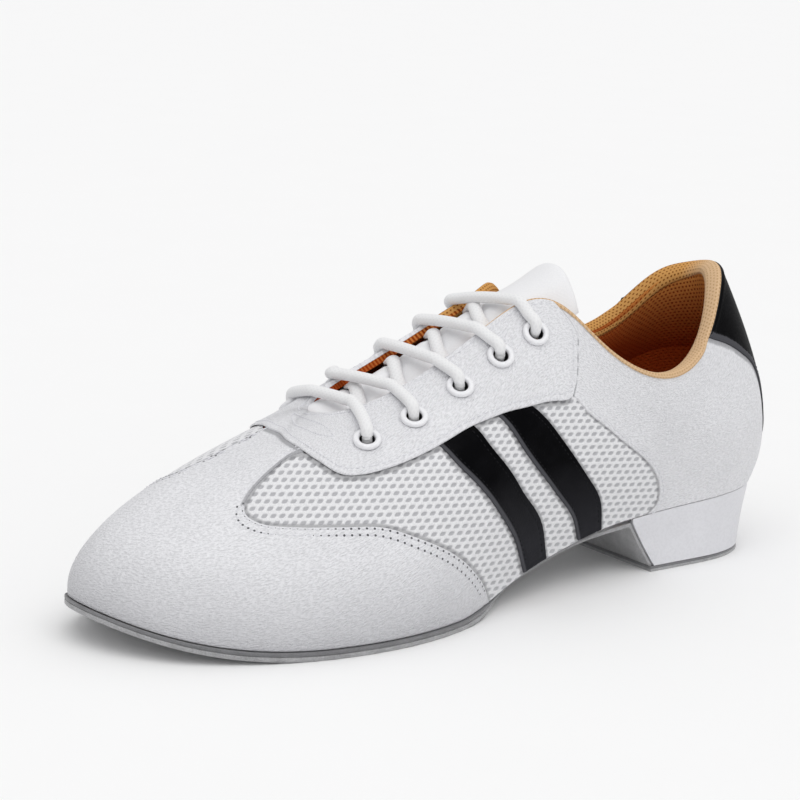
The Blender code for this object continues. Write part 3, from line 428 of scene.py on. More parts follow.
def resampled(points, step, closed):
    """The line with evenly spaced points, in the flat sheet's millimetres."""
    points = np.asarray(points, float)
    if closed:
        points = np.vstack([points, points[:1]])
    run = run_along(points)
    keep = np.concatenate([[True], np.diff(run) > 1e-9])
    points = points[keep]
    run = run[keep]
    pieces = max(3, int(round(run[-1] / step)))
    wanted = np.linspace(0, run[-1], pieces + 1)
    if closed:
        wanted = wanted[:-1]
    return np.stack([np.interp(wanted, run, points[:, axis]) for axis in range(points.shape[1])], 1)


def signed_area(points):
    following = np.roll(points, -1, 0)
    return 0.5 * float(np.sum(points[:, 0] * following[:, 1] - following[:, 0] * points[:, 1]))


def moved_in(points, distance):
    """A closed outline moved inwards by a distance."""
    side = 1.0 if signed_area(points) > 0 else -1.0
    before = unit(points - np.roll(points, 1, 0))
    after = unit(np.roll(points, -1, 0) - points)
    normal = np.stack([-before[:, 1] - after[:, 1], before[:, 0] + after[:, 0]], 1) * side
    length = np.linalg.norm(normal, axis=1, keepdims=True)
    normal = normal / np.maximum(length, 0.2)
    return points + normal * distance


def inside(points, polygon):
    """Which points lie inside the polygon."""
    result = np.zeros(len(points), bool)
    x, y = points[:, 0], points[:, 1]
    following = np.roll(polygon, -1, 0)
    for (x0, y0), (x1, y1) in zip(polygon, following):
        if y0 == y1:
            continue
        crossing = ((y0 > y) != (y1 > y)) & (x < x0 + (y - y0) / (y1 - y0) * (x1 - x0))
        result ^= crossing
    return result


def distance_to(points, line, closed=True):
    """Shortest distance from each point to a polyline."""
    starts = line if closed else line[:-1]
    ends = np.roll(line, -1, 0) if closed else line[1:]
    run = ends - starts
    square = np.maximum((run ** 2).sum(1), 1e-12)
    best = np.full(len(points), 1e9)
    for first in range(0, len(points), 4000):
        part = points[first:first + 4000]
        gap = part[:, None, :] - starts[None]
        share = np.clip((gap * run[None]).sum(2) / square[None], 0, 1)
        miss = np.linalg.norm(gap - run[None] * share[..., None], axis=2)
        best[first:first + 4000] = miss.min(1)
    return best


EDGE_ROWS = (0.12, 0.28, 0.5, 0.8)
STITCHED_ROWS = (0.12, 0.35, 0.6, 0.9, 1.3, 1.7, 2.1, 2.5, 2.9, 3.4)


def cut_out(outline, spacing, edge_step=1.0, holes=(), edge_rows=EDGE_ROWS):
    """Triangles of a flat panel: its places, faces and distance from the edge."""
    loops = [resampled(in_plane(outline), edge_step, True)]
    loops += [np.asarray(hole, float) for hole in holes]
    whole = loops[0]
    loose = [moved_in(whole, row) for row in edge_rows]
    for hole in loops[1:]:
        loose += [moved_in(hole, -row) for row in edge_rows]
    loose = np.vstack(loose) if loose else np.zeros((0, 2))
    low = whole.min(0)
    high = whole.max(0)
    tall = spacing * math.sqrt(3) / 2
    grid = []
    for j in range(int((high[1] - low[1]) / tall) + 2):
        xs = np.arange(low[0] - spacing * 0.5 * (j % 2), high[0] + spacing, spacing)
        grid.append(np.stack([xs, np.full(len(xs), low[1] + j * tall)], 1))
    grid = np.vstack(grid)
    edge_room = (edge_rows[-1] if edge_rows else 0.0) + spacing * 0.45
    kept = []
    for points, room in ((loose, 0.09), (grid, edge_room)):
        good = inside(points, whole) & (distance_to(points, whole) > room)
        for hole in loops[1:]:
            good &= ~inside(points, hole) & (distance_to(points, hole) > room)
        kept.append(points[good])
    points = []
    edges = []
    for loop in loops:
        base = len(points)
        points += [Vector(point) for point in loop]
        edges += [(base + i, base + (i + 1) % len(loop)) for i in range(len(loop))]
    points += [Vector(point) for group in kept for point in group]
    found, _, faces, _, _, _ = delaunay_2d_cdt(points, edges, [], 0, 1e-4)
    found = np.array([tuple(point) for point in found])
    faces = np.array([tuple(face) for face in faces if len(face) == 3])
    middle = found[faces].mean(1)
    good = inside(middle, whole)
    for hole in loops[1:]:
        good &= ~inside(middle, hole)
    faces = faces[good]
    distance = distance_to(found, whole)
    for hole in loops[1:]:
        distance = np.minimum(distance, distance_to(found, hole))
    return found, faces, distance


def nearest(flat, lines, faint=()):
    """Distance from each place to the nearest open line in millimetres; faint lines count as farther."""
    best = np.full(len(flat), 50.0)
    for line in lines:
        best = np.minimum(best, distance_to(flat, line, False))
    for line in faint:
        best = np.minimum(best, distance_to(flat, line, False) + 0.5)
    return best


def rolled(distance, radius):
    """How far a rounded edge falls below the panel's face at a distance from the edge."""
    inner = radius - np.minimum(distance, radius)
    return radius - np.sqrt(np.maximum(radius ** 2 - inner ** 2, 0.0))


def make_panel(name, outline, look, outer, inner, spacing=1.6, edge_step=1.0, roll=0.45,
               holes=(), replaces=(), relief=None, edge_rows=EDGE_ROWS, shadow_and_edge_lines=(), faint=()):
    """A panel with real thickness and rounded edges, laid on the upper's surface."""
    flat, faces, distance = cut_out(outline, spacing, edge_step, holes, edge_rows)
    turn = flat[:, 0] / GIRTH
    rise = np.clip(flat[:, 1] / REACH, 0, 1)
    top = outer(turn, rise, distance) if callable(outer) else np.full(len(flat), outer)
    low = inner(turn, rise, distance) if callable(inner) else np.full(len(flat), inner)
    top = top - rolled(distance, roll)
    if relief is not None:
        top = top + relief(flat, distance)
    outer_points = lifted(turn, rise, top)
    inner_points = lifted(turn, rise, low)
    count = len(flat)
    solid = [tuple(face) for face in faces]
    solid += [tuple(count + i for i in face[::-1]) for face in faces]
    sides = set()
    for a, b, c in faces:
        sides.update(((a, b), (b, c), (c, a)))
    solid += [(b, a, count + a, count + b) for a, b in sides if (b, a) not in sides]
    vertices = np.vstack([outer_points, inner_points])
    # The first mark is the distance from the panel's own edge; the second is the distance to the lines along
    # which white leather gets painted shadow and black leather its grey edge strip.
    marks = {
        "edge": np.concatenate([distance, np.full(count, -1.0)]),
        "shadow_and_edge_strip": np.tile(nearest(flat, shadow_and_edge_lines, faint), 2),
    }
    return add_piece(name, vertices, solid, look, replaces, np.vstack([flat, flat]), 50.0, marks=marks)


def oval_pattern(flat, pitch, size, lean):
    """How deep each place lies in a staggered pattern of oval openings: 0 on the threads, 1 inside."""
    row = flat[:, 1] / pitch[1]
    shift = 0.5 * np.mod(np.floor(row), 2)
    a = np.mod(flat[:, 0] / pitch[0] + shift, 1.0) - 0.5
    b = np.mod(row, 1.0) - 0.5
    a = a - lean * b
    return 1 - smooth_step((np.abs(a / size[0]) ** 3 + np.abs(b / size[1]) ** 3) ** (1 / 3), 0.70, 1.08)


# Materials

def new_material(name, colour, roughness, **sockets):
    made = bpy.data.materials.new(name)
    made.use_nodes = True
    shader = made.node_tree.nodes["Principled BSDF"]
    shader.inputs["Base Color"].default_value = tuple(colour) + (1.0,)
    shader.inputs["Roughness"].default_value = roughness
    for key, value in sockets.items():
        shader.inputs[key.replace("_", " ")].default_value = value
    made.diffuse_color = tuple(colour) + (1.0,)
    return made, made.node_tree, shader


def node(tree, kind, inputs=None, **settings):
    made = tree.nodes.new(kind)
    for key, value in settings.items():
        setattr(made, key, value)
    for key, value in (inputs or {}).items():
        if isinstance(value, bpy.types.NodeSocket):
            tree.links.new(value, made.inputs[key])
        else:
            made.inputs[key].default_value = value
    return made


def maths(tree, operation, first, second=0.0, clamp=False):
    made = node(tree, "ShaderNodeMath", {0: first, 1: second}, operation=operation, use_clamp=clamp)
    return made.outputs[0]


def plane_place(tree):
    return node(tree, "ShaderNodeUVMap", uv_map="plane").outputs[0]


def body_place(tree, scale=1000.0):
    """Place on the object, in millimetres."""
    place = node(tree, "ShaderNodeTexCoord").outputs["Object"]
    return node(tree, "ShaderNodeVectorMath", {0: place, 3: scale}, operation="SCALE").outputs[0]


def noise(tree, place, scale, detail=2.0, roughness=0.5):
    made = node(tree, "ShaderNodeTexNoise",
                {"Vector": place, "Scale": scale, "Detail": detail, "Roughness": roughness})
    return made.outputs[0]


def blend_colours(tree, share, first, second):
    made = node(tree, "ShaderNodeMix", {0: share, 6: tuple(first) + (1.0,), 7: tuple(second) + (1.0,)},
                data_type="RGBA")
    return made.outputs[2]


def ranged(tree, value, from_low, from_high, to_low, to_high):
    made = node(tree, "ShaderNodeMapRange",
                {0: value, 1: from_low, 2: from_high, 3: to_low, 4: to_high})
    return made.outputs[0]


def oval_nodes(tree, pitch, size, lean=0.0):
    """The staggered ovals as nodes: 0 on the threads, 1 inside the openings."""
    parts = node(tree, "ShaderNodeSeparateXYZ", {0: plane_place(tree)})
    row = maths(tree, "DIVIDE", parts.outputs[1], pitch[1])
    shift = maths(tree, "MULTIPLY", maths(tree, "FLOORED_MODULO", maths(tree, "FLOOR", row), 2.0), 0.5)
    a = maths(tree, "ADD", maths(tree, "DIVIDE", parts.outputs[0], pitch[0]), shift)
    a = maths(tree, "SUBTRACT", maths(tree, "FLOORED_MODULO", a, 1.0), 0.5)
    b = maths(tree, "SUBTRACT", maths(tree, "FLOORED_MODULO", row, 1.0), 0.5)
    a = maths(tree, "SUBTRACT", a, maths(tree, "MULTIPLY", b, lean))
    a = maths(tree, "DIVIDE", a, size[0])
    b = maths(tree, "DIVIDE", b, size[1])
    a = maths(tree, "POWER", maths(tree, "ABSOLUTE", a), 3.0)
    b = maths(tree, "POWER", maths(tree, "ABSOLUTE", b), 3.0)
    root = maths(tree, "POWER", maths(tree, "ADD", a, b), 1 / 3)
    return ranged(tree, root, 0.70, 1.08, 1.0, 0.0)


def mark(tree, name):
    """A number kept at each point of the mesh, such as the distance to the lines of painted shadow and of
    grey edge strips, in millimetres.
    """
    return node(tree, "ShaderNodeAttribute", attribute_name=name).outputs[2]


def darkened(tree, colour, share, dark):
    """The colour taken towards a dark one where share is 1."""
    mixed = node(tree, "ShaderNodeMix", {0: share, 6: colour, 7: tuple(dark) + (1.0,)}, data_type="RGBA")
    return mixed.outputs[2]


def add_bump(tree, shader, height, strength, distance):
    made = node(tree, "ShaderNodeBump",
                {"Height": height, "Strength": strength, "Distance": distance * MM})
    tree.links.new(made.outputs[0], shader.inputs["Normal"])
    return made


def hatch_nodes(tree, place, angle, fine, long):
    """Short slanting dashes: noise stretched along one direction, its grain's sizes in millimetres."""
    turned = node(tree, "ShaderNodeMapping", {0: place, 2: (0.0, 0.0, angle), 3: (long, fine, 1.0)},
                  vector_type="TEXTURE")
    return noise(tree, turned.outputs[0], 1.0, 1.0, 0.5)


def make_leather(name, light, shade, roughness, grain, bump, upper_panel_with_painted_shade=True):
    made, tree, shader = new_material(name, light, roughness)
    shader.inputs["Coat Weight"].default_value = 0.05
    shader.inputs["Coat Roughness"].default_value = 0.35
    dashes = hatch_nodes(tree, plane_place(tree) if upper_panel_with_painted_shade else body_place(tree), math.radians(15), 0.5, 1.3)
    pores = noise(tree, body_place(tree), grain, 3.0, 0.6)
    mottle = noise(tree, body_place(tree), 0.05, 3.0, 0.55)
    colour = blend_colours(tree, ranged(tree, mottle, 0.35, 0.7, 0.0, 1.0), light, shade)
    low = ranged(tree, dashes, 0.40, 0.56, 0.46 if upper_panel_with_painted_shade else 0.12, 0.0)
    colour = darkened(tree, colour, low, tuple(channel * 0.72 for channel in shade))
    if upper_panel_with_painted_shade:
        # Painted shade: the forefoot leather darkens towards the sole, standing in for the shade near the
        # floor; the dark colour below is that shade.
        parts = node(tree, "ShaderNodeSeparateXYZ", {0: body_place(tree)})
        rise = node(tree, "ShaderNodeSeparateXYZ", {0: plane_place(tree)}).outputs[1]
        painted_foot_shade = maths(tree, "MULTIPLY", ranged(tree, rise, 2.0, 26.0, 0.42, 0.0),
                           ranged(tree, parts.outputs[0], -130.0, -70.0, 1.0, 0.0))
        colour = darkened(tree, colour, painted_foot_shade, (0.30, 0.30, 0.32))
        # Painted shadow: a dark line beside the edges of the pieces lying over this leather, such as the
        # eyestay and the heel tab; along the vamp's front edge it also stands for the grey cut edge.
        line = ranged(tree, mark(tree, "shadow_and_edge_strip"), 1.0, 1.6, 0.62, 0.0)
        colour = darkened(tree, colour, line, (0.17, 0.17, 0.185))
    tree.links.new(colour, shader.inputs["Base Color"])
    tree.links.new(ranged(tree, pores, 0.3, 0.7, roughness - 0.05, roughness + 0.08),
                   shader.inputs["Roughness"])
    height = maths(tree, "ADD", dashes, maths(tree, "MULTIPLY", pores, 0.35))
    add_bump(tree, shader, height, bump, 0.5)
    return made


def make_mesh_look():
    made, tree, shader = new_material("mesh_fabric_look", (0.76, 0.76, 0.775), 0.8)
    shader.inputs["Sheen Weight"].default_value = 0.15
    openings = oval_nodes(tree, MESH_PITCH, MESH_SIZE, MESH_LEAN)
    fibre = noise(tree, body_place(tree), 2.2, 3.0, 0.7)
    thread = blend_colours(tree, ranged(tree, fibre, 0.3, 0.7, 0.0, 1.0), (0.86, 0.86, 0.87),
                           (0.68, 0.68, 0.70))
    inside_colour = blend_colours(tree, fibre, (0.54, 0.54, 0.56), (0.37, 0.37, 0.39))
    mixed = node(tree, "ShaderNodeMix", {0: openings, 6: thread, 7: inside_colour}, data_type="RGBA")
    # Painted shadow: the mesh darkens in a line along the edges of the leather lying over it.
    line = ranged(tree, mark(tree, "shadow_and_edge_strip"), 1.1, 1.7, 0.6, 0.0)
    tree.links.new(darkened(tree, mixed.outputs[2], line, (0.20, 0.20, 0.21)), shader.inputs["Base Color"])
    add_bump(tree, shader, fibre, 0.6, 0.2)
    return made


def make_knit(name, light, shade, pitch, size, depth, deep=None, far=None):
    """Pitted knit, with painted shade darkening it down inside the shoe if deep is given, in far's two
    colours on the inner side.
    """
    made, tree, shader = new_material(name, light, 0.95)
    shader.inputs["Specular IOR Level"].default_value = 0.08
    openings = oval_nodes(tree, pitch, size)
    fibre = noise(tree, body_place(tree), 2.4, 3.0, 0.7)
    parts = node(tree, "ShaderNodeSeparateXYZ", {0: body_place(tree)}).outputs
    base = blend_colours(tree, ranged(tree, fibre, 0.3, 0.7, 0.0, 1.0), light,
                         tuple(channel * 0.78 for channel in light))
    colour = darkened(tree, base, openings, shade)
    if far is not None:
        other = blend_colours(tree, openings, far[0], far[1])
        inner_side = ranged(tree, parts[1], 3.0, 11.0, 0.0, 1.0)
        mixed = node(tree, "ShaderNodeMix", {0: inner_side, 6: colour, 7: other}, data_type="RGBA")
        colour = mixed.outputs[2]
    if deep is not None:
        # Painted shade: the knit darkens deep inside the shoe, towards the colour deep.
        colour = darkened(tree, colour, ranged(tree, parts[2], 66.0, 92.0, 0.9, 0.0), deep)
    tree.links.new(colour, shader.inputs["Base Color"])
    height = maths(tree, "SUBTRACT", maths(tree, "MULTIPLY", fibre, 0.3), openings)
    add_bump(tree, shader, height, 0.8, depth)
    return made


def make_twill():
    made, tree, shader = new_material("white_twill_look", (0.80, 0.80, 0.81), 0.75)
    shader.inputs["Sheen Weight"].default_value = 0.1
    place = plane_place(tree)
    wave = node(tree, "ShaderNodeTexWave", {"Vector": place, "Scale": 0.42, "Distortion": 0.5,
                                            "Detail": 1.0}, wave_type="BANDS", bands_direction="DIAGONAL")
    fibre = noise(tree, body_place(tree), 2.0, 3.0, 0.6)
    tree.links.new(blend_colours(tree, fibre, (0.88, 0.88, 0.89), (0.76, 0.76, 0.78)),
                   shader.inputs["Base Color"])
    height = maths(tree, "ADD", wave.outputs[1], maths(tree, "MULTIPLY", fibre, 0.6))
    add_bump(tree, shader, height, 0.25, 0.08)
    return made


def make_suede(name, light, dark, bump):
    made, tree, shader = new_material(name, light, 0.95)
    shader.inputs["Sheen Weight"].default_value = 0.35
    shader.inputs["Sheen Roughness"].default_value = 0.6
    fuzz = noise(tree, body_place(tree), 2.2, 4.0, 0.75)
    patches = noise(tree, body_place(tree), 0.22, 3.0, 0.6)
    share = maths(tree, "ADD", maths(tree, "MULTIPLY", fuzz, 0.65), maths(tree, "MULTIPLY", patches, 0.35))
    tree.links.new(blend_colours(tree, ranged(tree, share, 0.32, 0.68, 0.0, 1.0), dark, light),
                   shader.inputs["Base Color"])
    add_bump(tree, shader, fuzz, bump, 0.25)
    return made


def make_black_leather():
    made, tree, shader = new_material("black_leather_look", (0.006, 0.006, 0.007), 0.42)
    shader.inputs["Specular IOR Level"].default_value = 0.025
    cells = node(tree, "ShaderNodeTexVoronoi", {"Vector": body_place(tree), "Scale": 1.5})
    pores = noise(tree, body_place(tree), 1.6, 3.0, 0.6)
    wear = noise(tree, body_place(tree), 0.12, 3.0, 0.6)
    colour = blend_colours(tree, ranged(tree, wear, 0.4, 0.75, 0.0, 1.0),
                           (0.0015, 0.0015, 0.002), (0.004, 0.004, 0.005))
    # Painted reflection: black leather lower down is a lighter charcoal, standing in for sheen.
    height = node(tree, "ShaderNodeSeparateXYZ", {0: body_place(tree)}).outputs[2]
    colour = darkened(tree, colour, ranged(tree, height, 20.0, 46.0, 1.0, 0.0), (0.022, 0.022, 0.026))
    cut = ranged(tree, mark(tree, "edge"), -0.30, 0.10, 1.0, 0.0)
    colour = darkened(tree, colour, cut, (0.085, 0.085, 0.095))
    strip = ranged(tree, mark(tree, "shadow_and_edge_strip"), 0.75, 1.15, 1.0, 0.0)
    colour = darkened(tree, colour, strip, (0.070, 0.070, 0.078))
    tree.links.new(colour, shader.inputs["Base Color"])
    tree.links.new(ranged(tree, pores, 0.3, 0.7, 0.36, 0.55), shader.inputs["Roughness"])
    height = maths(tree, "ADD", cells.outputs[0], maths(tree, "MULTIPLY", pores, 0.5))
    add_bump(tree, shader, height, 0.35, 0.12)
    return made


def make_cord_look():
    made, tree, shader = new_material("white_cord_look", (0.86, 0.86, 0.86), 0.8)
    shader.inputs["Sheen Weight"].default_value = 0.2
    place = plane_place(tree)
    rising = node(tree, "ShaderNodeTexWave", {"Vector": place, "Scale": 0.36, "Distortion": 0.0},
                  wave_type="BANDS", bands_direction="DIAGONAL")
    turned = node(tree, "ShaderNodeMapping", {0: place, 3: (-1.0, 1.0, 1.0)})
    falling = node(tree, "ShaderNodeTexWave", {"Vector": turned.outputs[0], "Scale": 0.36, "Distortion": 0.0},
                   wave_type="BANDS", bands_direction="DIAGONAL")
    fibre = noise(tree, body_place(tree), 2.4, 3.0, 0.6)
    braid = maths(tree, "MAXIMUM", rising.outputs[1], falling.outputs[1])
    tree.links.new(blend_colours(tree, braid, (0.77, 0.77, 0.78), (0.83, 0.83, 0.835)),
                   shader.inputs["Base Color"])
    height = maths(tree, "ADD", braid, maths(tree, "MULTIPLY", fibre, 0.4))
    add_bump(tree, shader, height, 0.3, 0.12)
    return made


def make_enamel():
    made, tree, shader = new_material("white_enamel_look", (0.83, 0.83, 0.85), 0.3)
    shader.inputs["Coat Weight"].default_value = 0.3
    shader.inputs["Coat Roughness"].default_value = 0.2
    scuff = noise(tree, body_place(tree), 0.8, 4.0, 0.6)
    colour = blend_colours(tree, ranged(tree, scuff, 0.5, 0.8, 0.0, 1.0), (0.82, 0.82, 0.84),
                           (0.72, 0.72, 0.74))
    # Painted shade: the eyelet's bore is darkened to near black with its depth.
    bore_shade_depth = ranged(tree, mark(tree, "bore_shade_depth"), 0.0, 0.35, 0.0, 1.0)
    tree.links.new(darkened(tree, colour, bore_shade_depth, (0.012, 0.012, 0.015)), shader.inputs["Base Color"])
    tree.links.new(ranged(tree, scuff, 0.3, 0.7, 0.24, 0.38), shader.inputs["Roughness"])
    add_bump(tree, shader, scuff, 0.1, 0.05)
    return made


def make_thread_look(name, light, dark):
    made, tree, shader = new_material(name, light, 0.65)
    shader.inputs["Specular IOR Level"].default_value = 0.1
    twist = noise(tree, body_place(tree), 3.0, 2.0, 0.6)
    tree.links.new(blend_colours(tree, twist, light, dark), shader.inputs["Base Color"])
    add_bump(tree, shader, twist, 0.4, 0.08)
    return made


WHITE = make_leather("white_leather_look", (0.81, 0.81, 0.835), (0.775, 0.775, 0.80), 0.5, 1.6, 1.0)
HEEL_COVER = make_leather("covered_heel_look", (0.73, 0.73, 0.76), (0.69, 0.69, 0.72), 0.42, 1.2, 0.2, False)
MESH = make_mesh_look()
# The last colour is the painted shade deep inside the shoe.
LINING = make_knit("tan_lining_look", (0.70, 0.28, 0.07), (0.25, 0.052, 0.006), KNIT_PITCH, (0.27, 0.27), 0.3,
                   (0.32, 0.034, 0.003))
BINDING = make_knit("tan_binding_look", (0.76, 0.52, 0.31), (0.54, 0.34, 0.17), KNIT_PITCH, (0.24, 0.24),
                    0.25, None, ((0.62, 0.32, 0.10), (0.26, 0.085, 0.015)))
TWILL = make_twill()
SUEDE = make_suede("grey_suede_look", (0.50, 0.50, 0.51), (0.20, 0.20, 0.205), 0.8)
BOARD = make_suede("dark_board_look", (0.22, 0.22, 0.23), (0.11, 0.11, 0.116), 0.5)
BLACK = make_black_leather()
CORD = make_cord_look()
ENAMEL = make_enamel()
THREAD = make_thread_look("white_thread_look", (0.80, 0.80, 0.82), (0.66, 0.66, 0.70))
DARK_THREAD = make_thread_look("dark_thread_look", (0.012, 0.012, 0.014), (0.005, 0.005, 0.006))
# Painted shade: dark discs stand for the shade inside the needle holes.
PINHOLE = make_suede("pinhole_look", (0.11, 0.11, 0.12), (0.05, 0.05, 0.055), 0.3)

# Upper

LOWER = smooth_line(MESH_LOWER, 2.0)
FRONT = smooth_line(MESH_FRONT, 2.0)
LOWER_INNER = mirrored(smooth_line(MESH_LOWER_INNER, 2.0))
FRONT_INNER = mirrored(smooth_line(MESH_FRONT_INNER, 2.0))
STAY = smooth_line(EYESTAY_LOWER + EYESTAY_REAR[:1], 2.0)[:-1]
STAY_REAR = smooth_line(EYESTAY_REAR, 2.0)
MESH_BACK = smooth_line(MESH_REAR, 2.0)
TAB = smooth_line(TAB_EDGE, 2.0)


def circle_on_upper(place, radius, count):
    """A true circle on the surface, in the flat sheet's millimetres."""
    turn, rise = place
    step = 1e-3
    around = (last_surface(turn + step, rise) - last_surface(turn - step, rise)) / (2 * step)
    upwards = (last_surface(turn, rise + step) - last_surface(turn, rise - step)) / (2 * step)
    axes = np.stack([around, upwards], 1)
    first = unit(around)
    second = np.cross(surface_normal(turn, rise), first)
    points = []
    for i in range(count):
        angle = 2 * math.pi * i / count
        offset = (first * math.cos(angle) + second * math.sin(angle)) * radius
        move = np.linalg.lstsq(axes, offset, rcond=None)[0]
        points.append(((turn + move[0]) * GIRTH, (rise + move[1]) * REACH))
    return np.array(points)


EYELET_PLACES = EYELETS + mirrored(EYELETS)
EYELET_HOLES = [circle_on_upper(place, EYELET_BORE, 24) for place in EYELET_PLACES]


def edge_line(first, last, rise, step=0.004):
    count = max(2, int(abs(last - first) / step))
    return [(first + (last - first) * i / count, rise) for i in range(count + 1)]


def stitch_groove(depth, offset, width):
    """A shallow channel where a row of stitches pulls the leather in."""
    def relief(flat, distance):
        return -depth * np.exp(-((distance - offset) / width) ** 2)
    return relief


def softly_uneven(flat):
    """Slow hand-lasted unevenness of the leather."""
    u, v = flat[:, 0], flat[:, 1]
    return 0.10 * np.sin(u * 0.09 + 1.3 * np.sin(v * 0.11)) * np.sin(v * 0.13 + 0.7) \
        + 0.05 * np.sin(u * 0.21 + v * 0.17 + 2.0)


# Creases in the vamp: two ends as turn and rise, depth and half width in millimetres
CREASES = [
    ((-0.020, 0.800), (0.052, 0.700), 0.22, 2.0),
    ((-0.035, 0.700), (0.050, 0.640), 0.16, 2.4),
    ((0.036, 0.395), (0.120, 0.330), 0.10, 4.0),
]


def crease_relief(flat):
    total = np.zeros(len(flat))
    for start, end, depth, width in CREASES:
        line = in_plane([start, end])
        away = distance_to(flat, line, False)
        total -= depth * np.exp(-(away / width) ** 2)
        total += depth * 0.5 * np.exp(-((away - 2 * width) / width) ** 2)
    return total


def vamp_relief(flat, distance):
    foot_line = smooth_step(flat[:, 1], 0.0, 4.0)
    grooves = stitch_groove(0.10, 0.6, 0.35)(flat, distance) + stitch_groove(0.12, 2.3, 0.45)(flat, distance)
    return grooves * foot_line + softly_uneven(flat) * smooth_step(distance, 1.0, 6.0) + crease_relief(flat)


def make_upper_wall():
    """The tan-lined wall all round the foot, with the eyelet holes cut through."""
    border = edge_line(-0.5, 0.5, 0.0) + edge_line(0.5, -0.5, 1.0)
    flat, faces, _ = cut_out(border, 2.6, 1.3, EYELET_HOLES, ())
    turn = flat[:, 0] / GIRTH
    rise = np.clip(flat[:, 1] / REACH, 0, 1)
    count = len(flat)
    solid = [tuple(face) for face in faces]
    solid += [tuple(count + i for i in face[::-1]) for face in faces]
    sides = set()
    for a, b, c in faces:
        sides.update(((a, b), (b, c), (c, a)))
    at_heel = np.abs(np.abs(turn) - 0.5) < 1e-6
    for a, b in sides:
        if (b, a) not in sides and not (at_heel[a] and at_heel[b]):
            solid.append((b, a, count + a, count + b))
    dip = throat_dip(turn, rise)
    inner = LINING_IN + 1.2 * (1 - smooth_step(np.abs(turn), 0.12, 0.17)) - dip
    vertices = np.vstack([lifted(turn, rise, WALL_OUT - dip), lifted(turn, rise, inner)])
    add_piece("upper_lining", vertices, solid, LINING, ["upper"], np.vstack([flat, flat]), 50.0)


def knit_place(points, side):
    """Place in the knit's pattern, mirrored on the inner side."""
    points = points * (1, side, 1)
    up = points @ CLOTH_UP
    return np.stack([points @ CLOTH_ALONG - MESH_SHEAR * up, up], 1)


def make_mesh_panels():
    """Knitted mesh between the leather panels: raised threads round sunken openings."""
    step_u = 0.46
    step_v = 0.31
    for side, name in ((1, "mesh_outer"), (-1, "mesh_inner")):
        us = np.arange(int(0.005 * GIRTH / step_u), int(0.395 * GIRTH / step_u) + 1) * step_u
        vs = np.arange(0, int(0.84 * REACH / step_v) + 1) * step_v
        grid_u, grid_v = np.meshgrid(us, vs, indexing="ij")
        flat = np.stack([grid_u.ravel(), grid_v.ravel()], 1)
        lower = LOWER if side > 0 else mirrored(LOWER_INNER)
        front = FRONT if side > 0 else mirrored(FRONT_INNER)
        stay = [point for point in STAY if point[0] > front[-1][0] - 0.004]
        outline = lower + edge_line(0.252, 0.376, 0.0)[1:] + MESH_BACK + list(reversed(stay))
        outline += list(reversed(front))
        whole = in_plane(outline)
        edge = distance_to(flat, whole)
        good = inside(flat, whole) | (edge < 2.2)
        under_band = np.zeros(len(flat), bool)
        for band in BAND_OUTLINES:
            line = in_plane(band)
            under_band |= inside(flat, line) & (distance_to(flat, line) > 2.0)
        good = (good & ~under_band).reshape(grid_u.shape)
        turn = side * flat[:, 0] / GIRTH
        rise = np.clip(flat[:, 1] / REACH, 0, 1)
        pattern = knit_place(last_surface(turn, rise), side)
        depth = oval_pattern(pattern, MESH_PITCH, MESH_SIZE, MESH_LEAN) * smooth_step(flat[:, 1], 0.6, 2.2)
        points = lifted(turn, rise, -0.40 - 0.36 * depth)
        index = np.arange(len(flat)).reshape(grid_u.shape)
        cells = good[:-1, :-1] & good[1:, :-1] & good[:-1, 1:] & good[1:, 1:]
        quads = np.stack([index[:-1, :-1], index[1:, :-1], index[1:, 1:], index[:-1, 1:]], -1)[cells]
        used = np.unique(quads)
        renumber = np.zeros(len(flat), int)
        renumber[used] = np.arange(len(used))
        quads = renumber[quads]
        if side < 0:
            quads = quads[:, ::-1]
        # Lines along which the mesh gets painted shadow, strongly beside the outer side's front and eyestay
        # edges, faintly elsewhere.
        strong = [in_plane(front), in_plane(stay)] if side > 0 else []
        faint = [in_plane(lower), in_plane(MESH_BACK)] + [in_plane(band) for band in BAND_OUTLINES]
        shadow_and_edge_strip = nearest(flat[used], strong, faint)
        add_piece(name, points[used], quads, MESH, ["upper"], pattern[used], 180.0, True,
                  {"shadow_and_edge_strip": shadow_and_edge_strip})


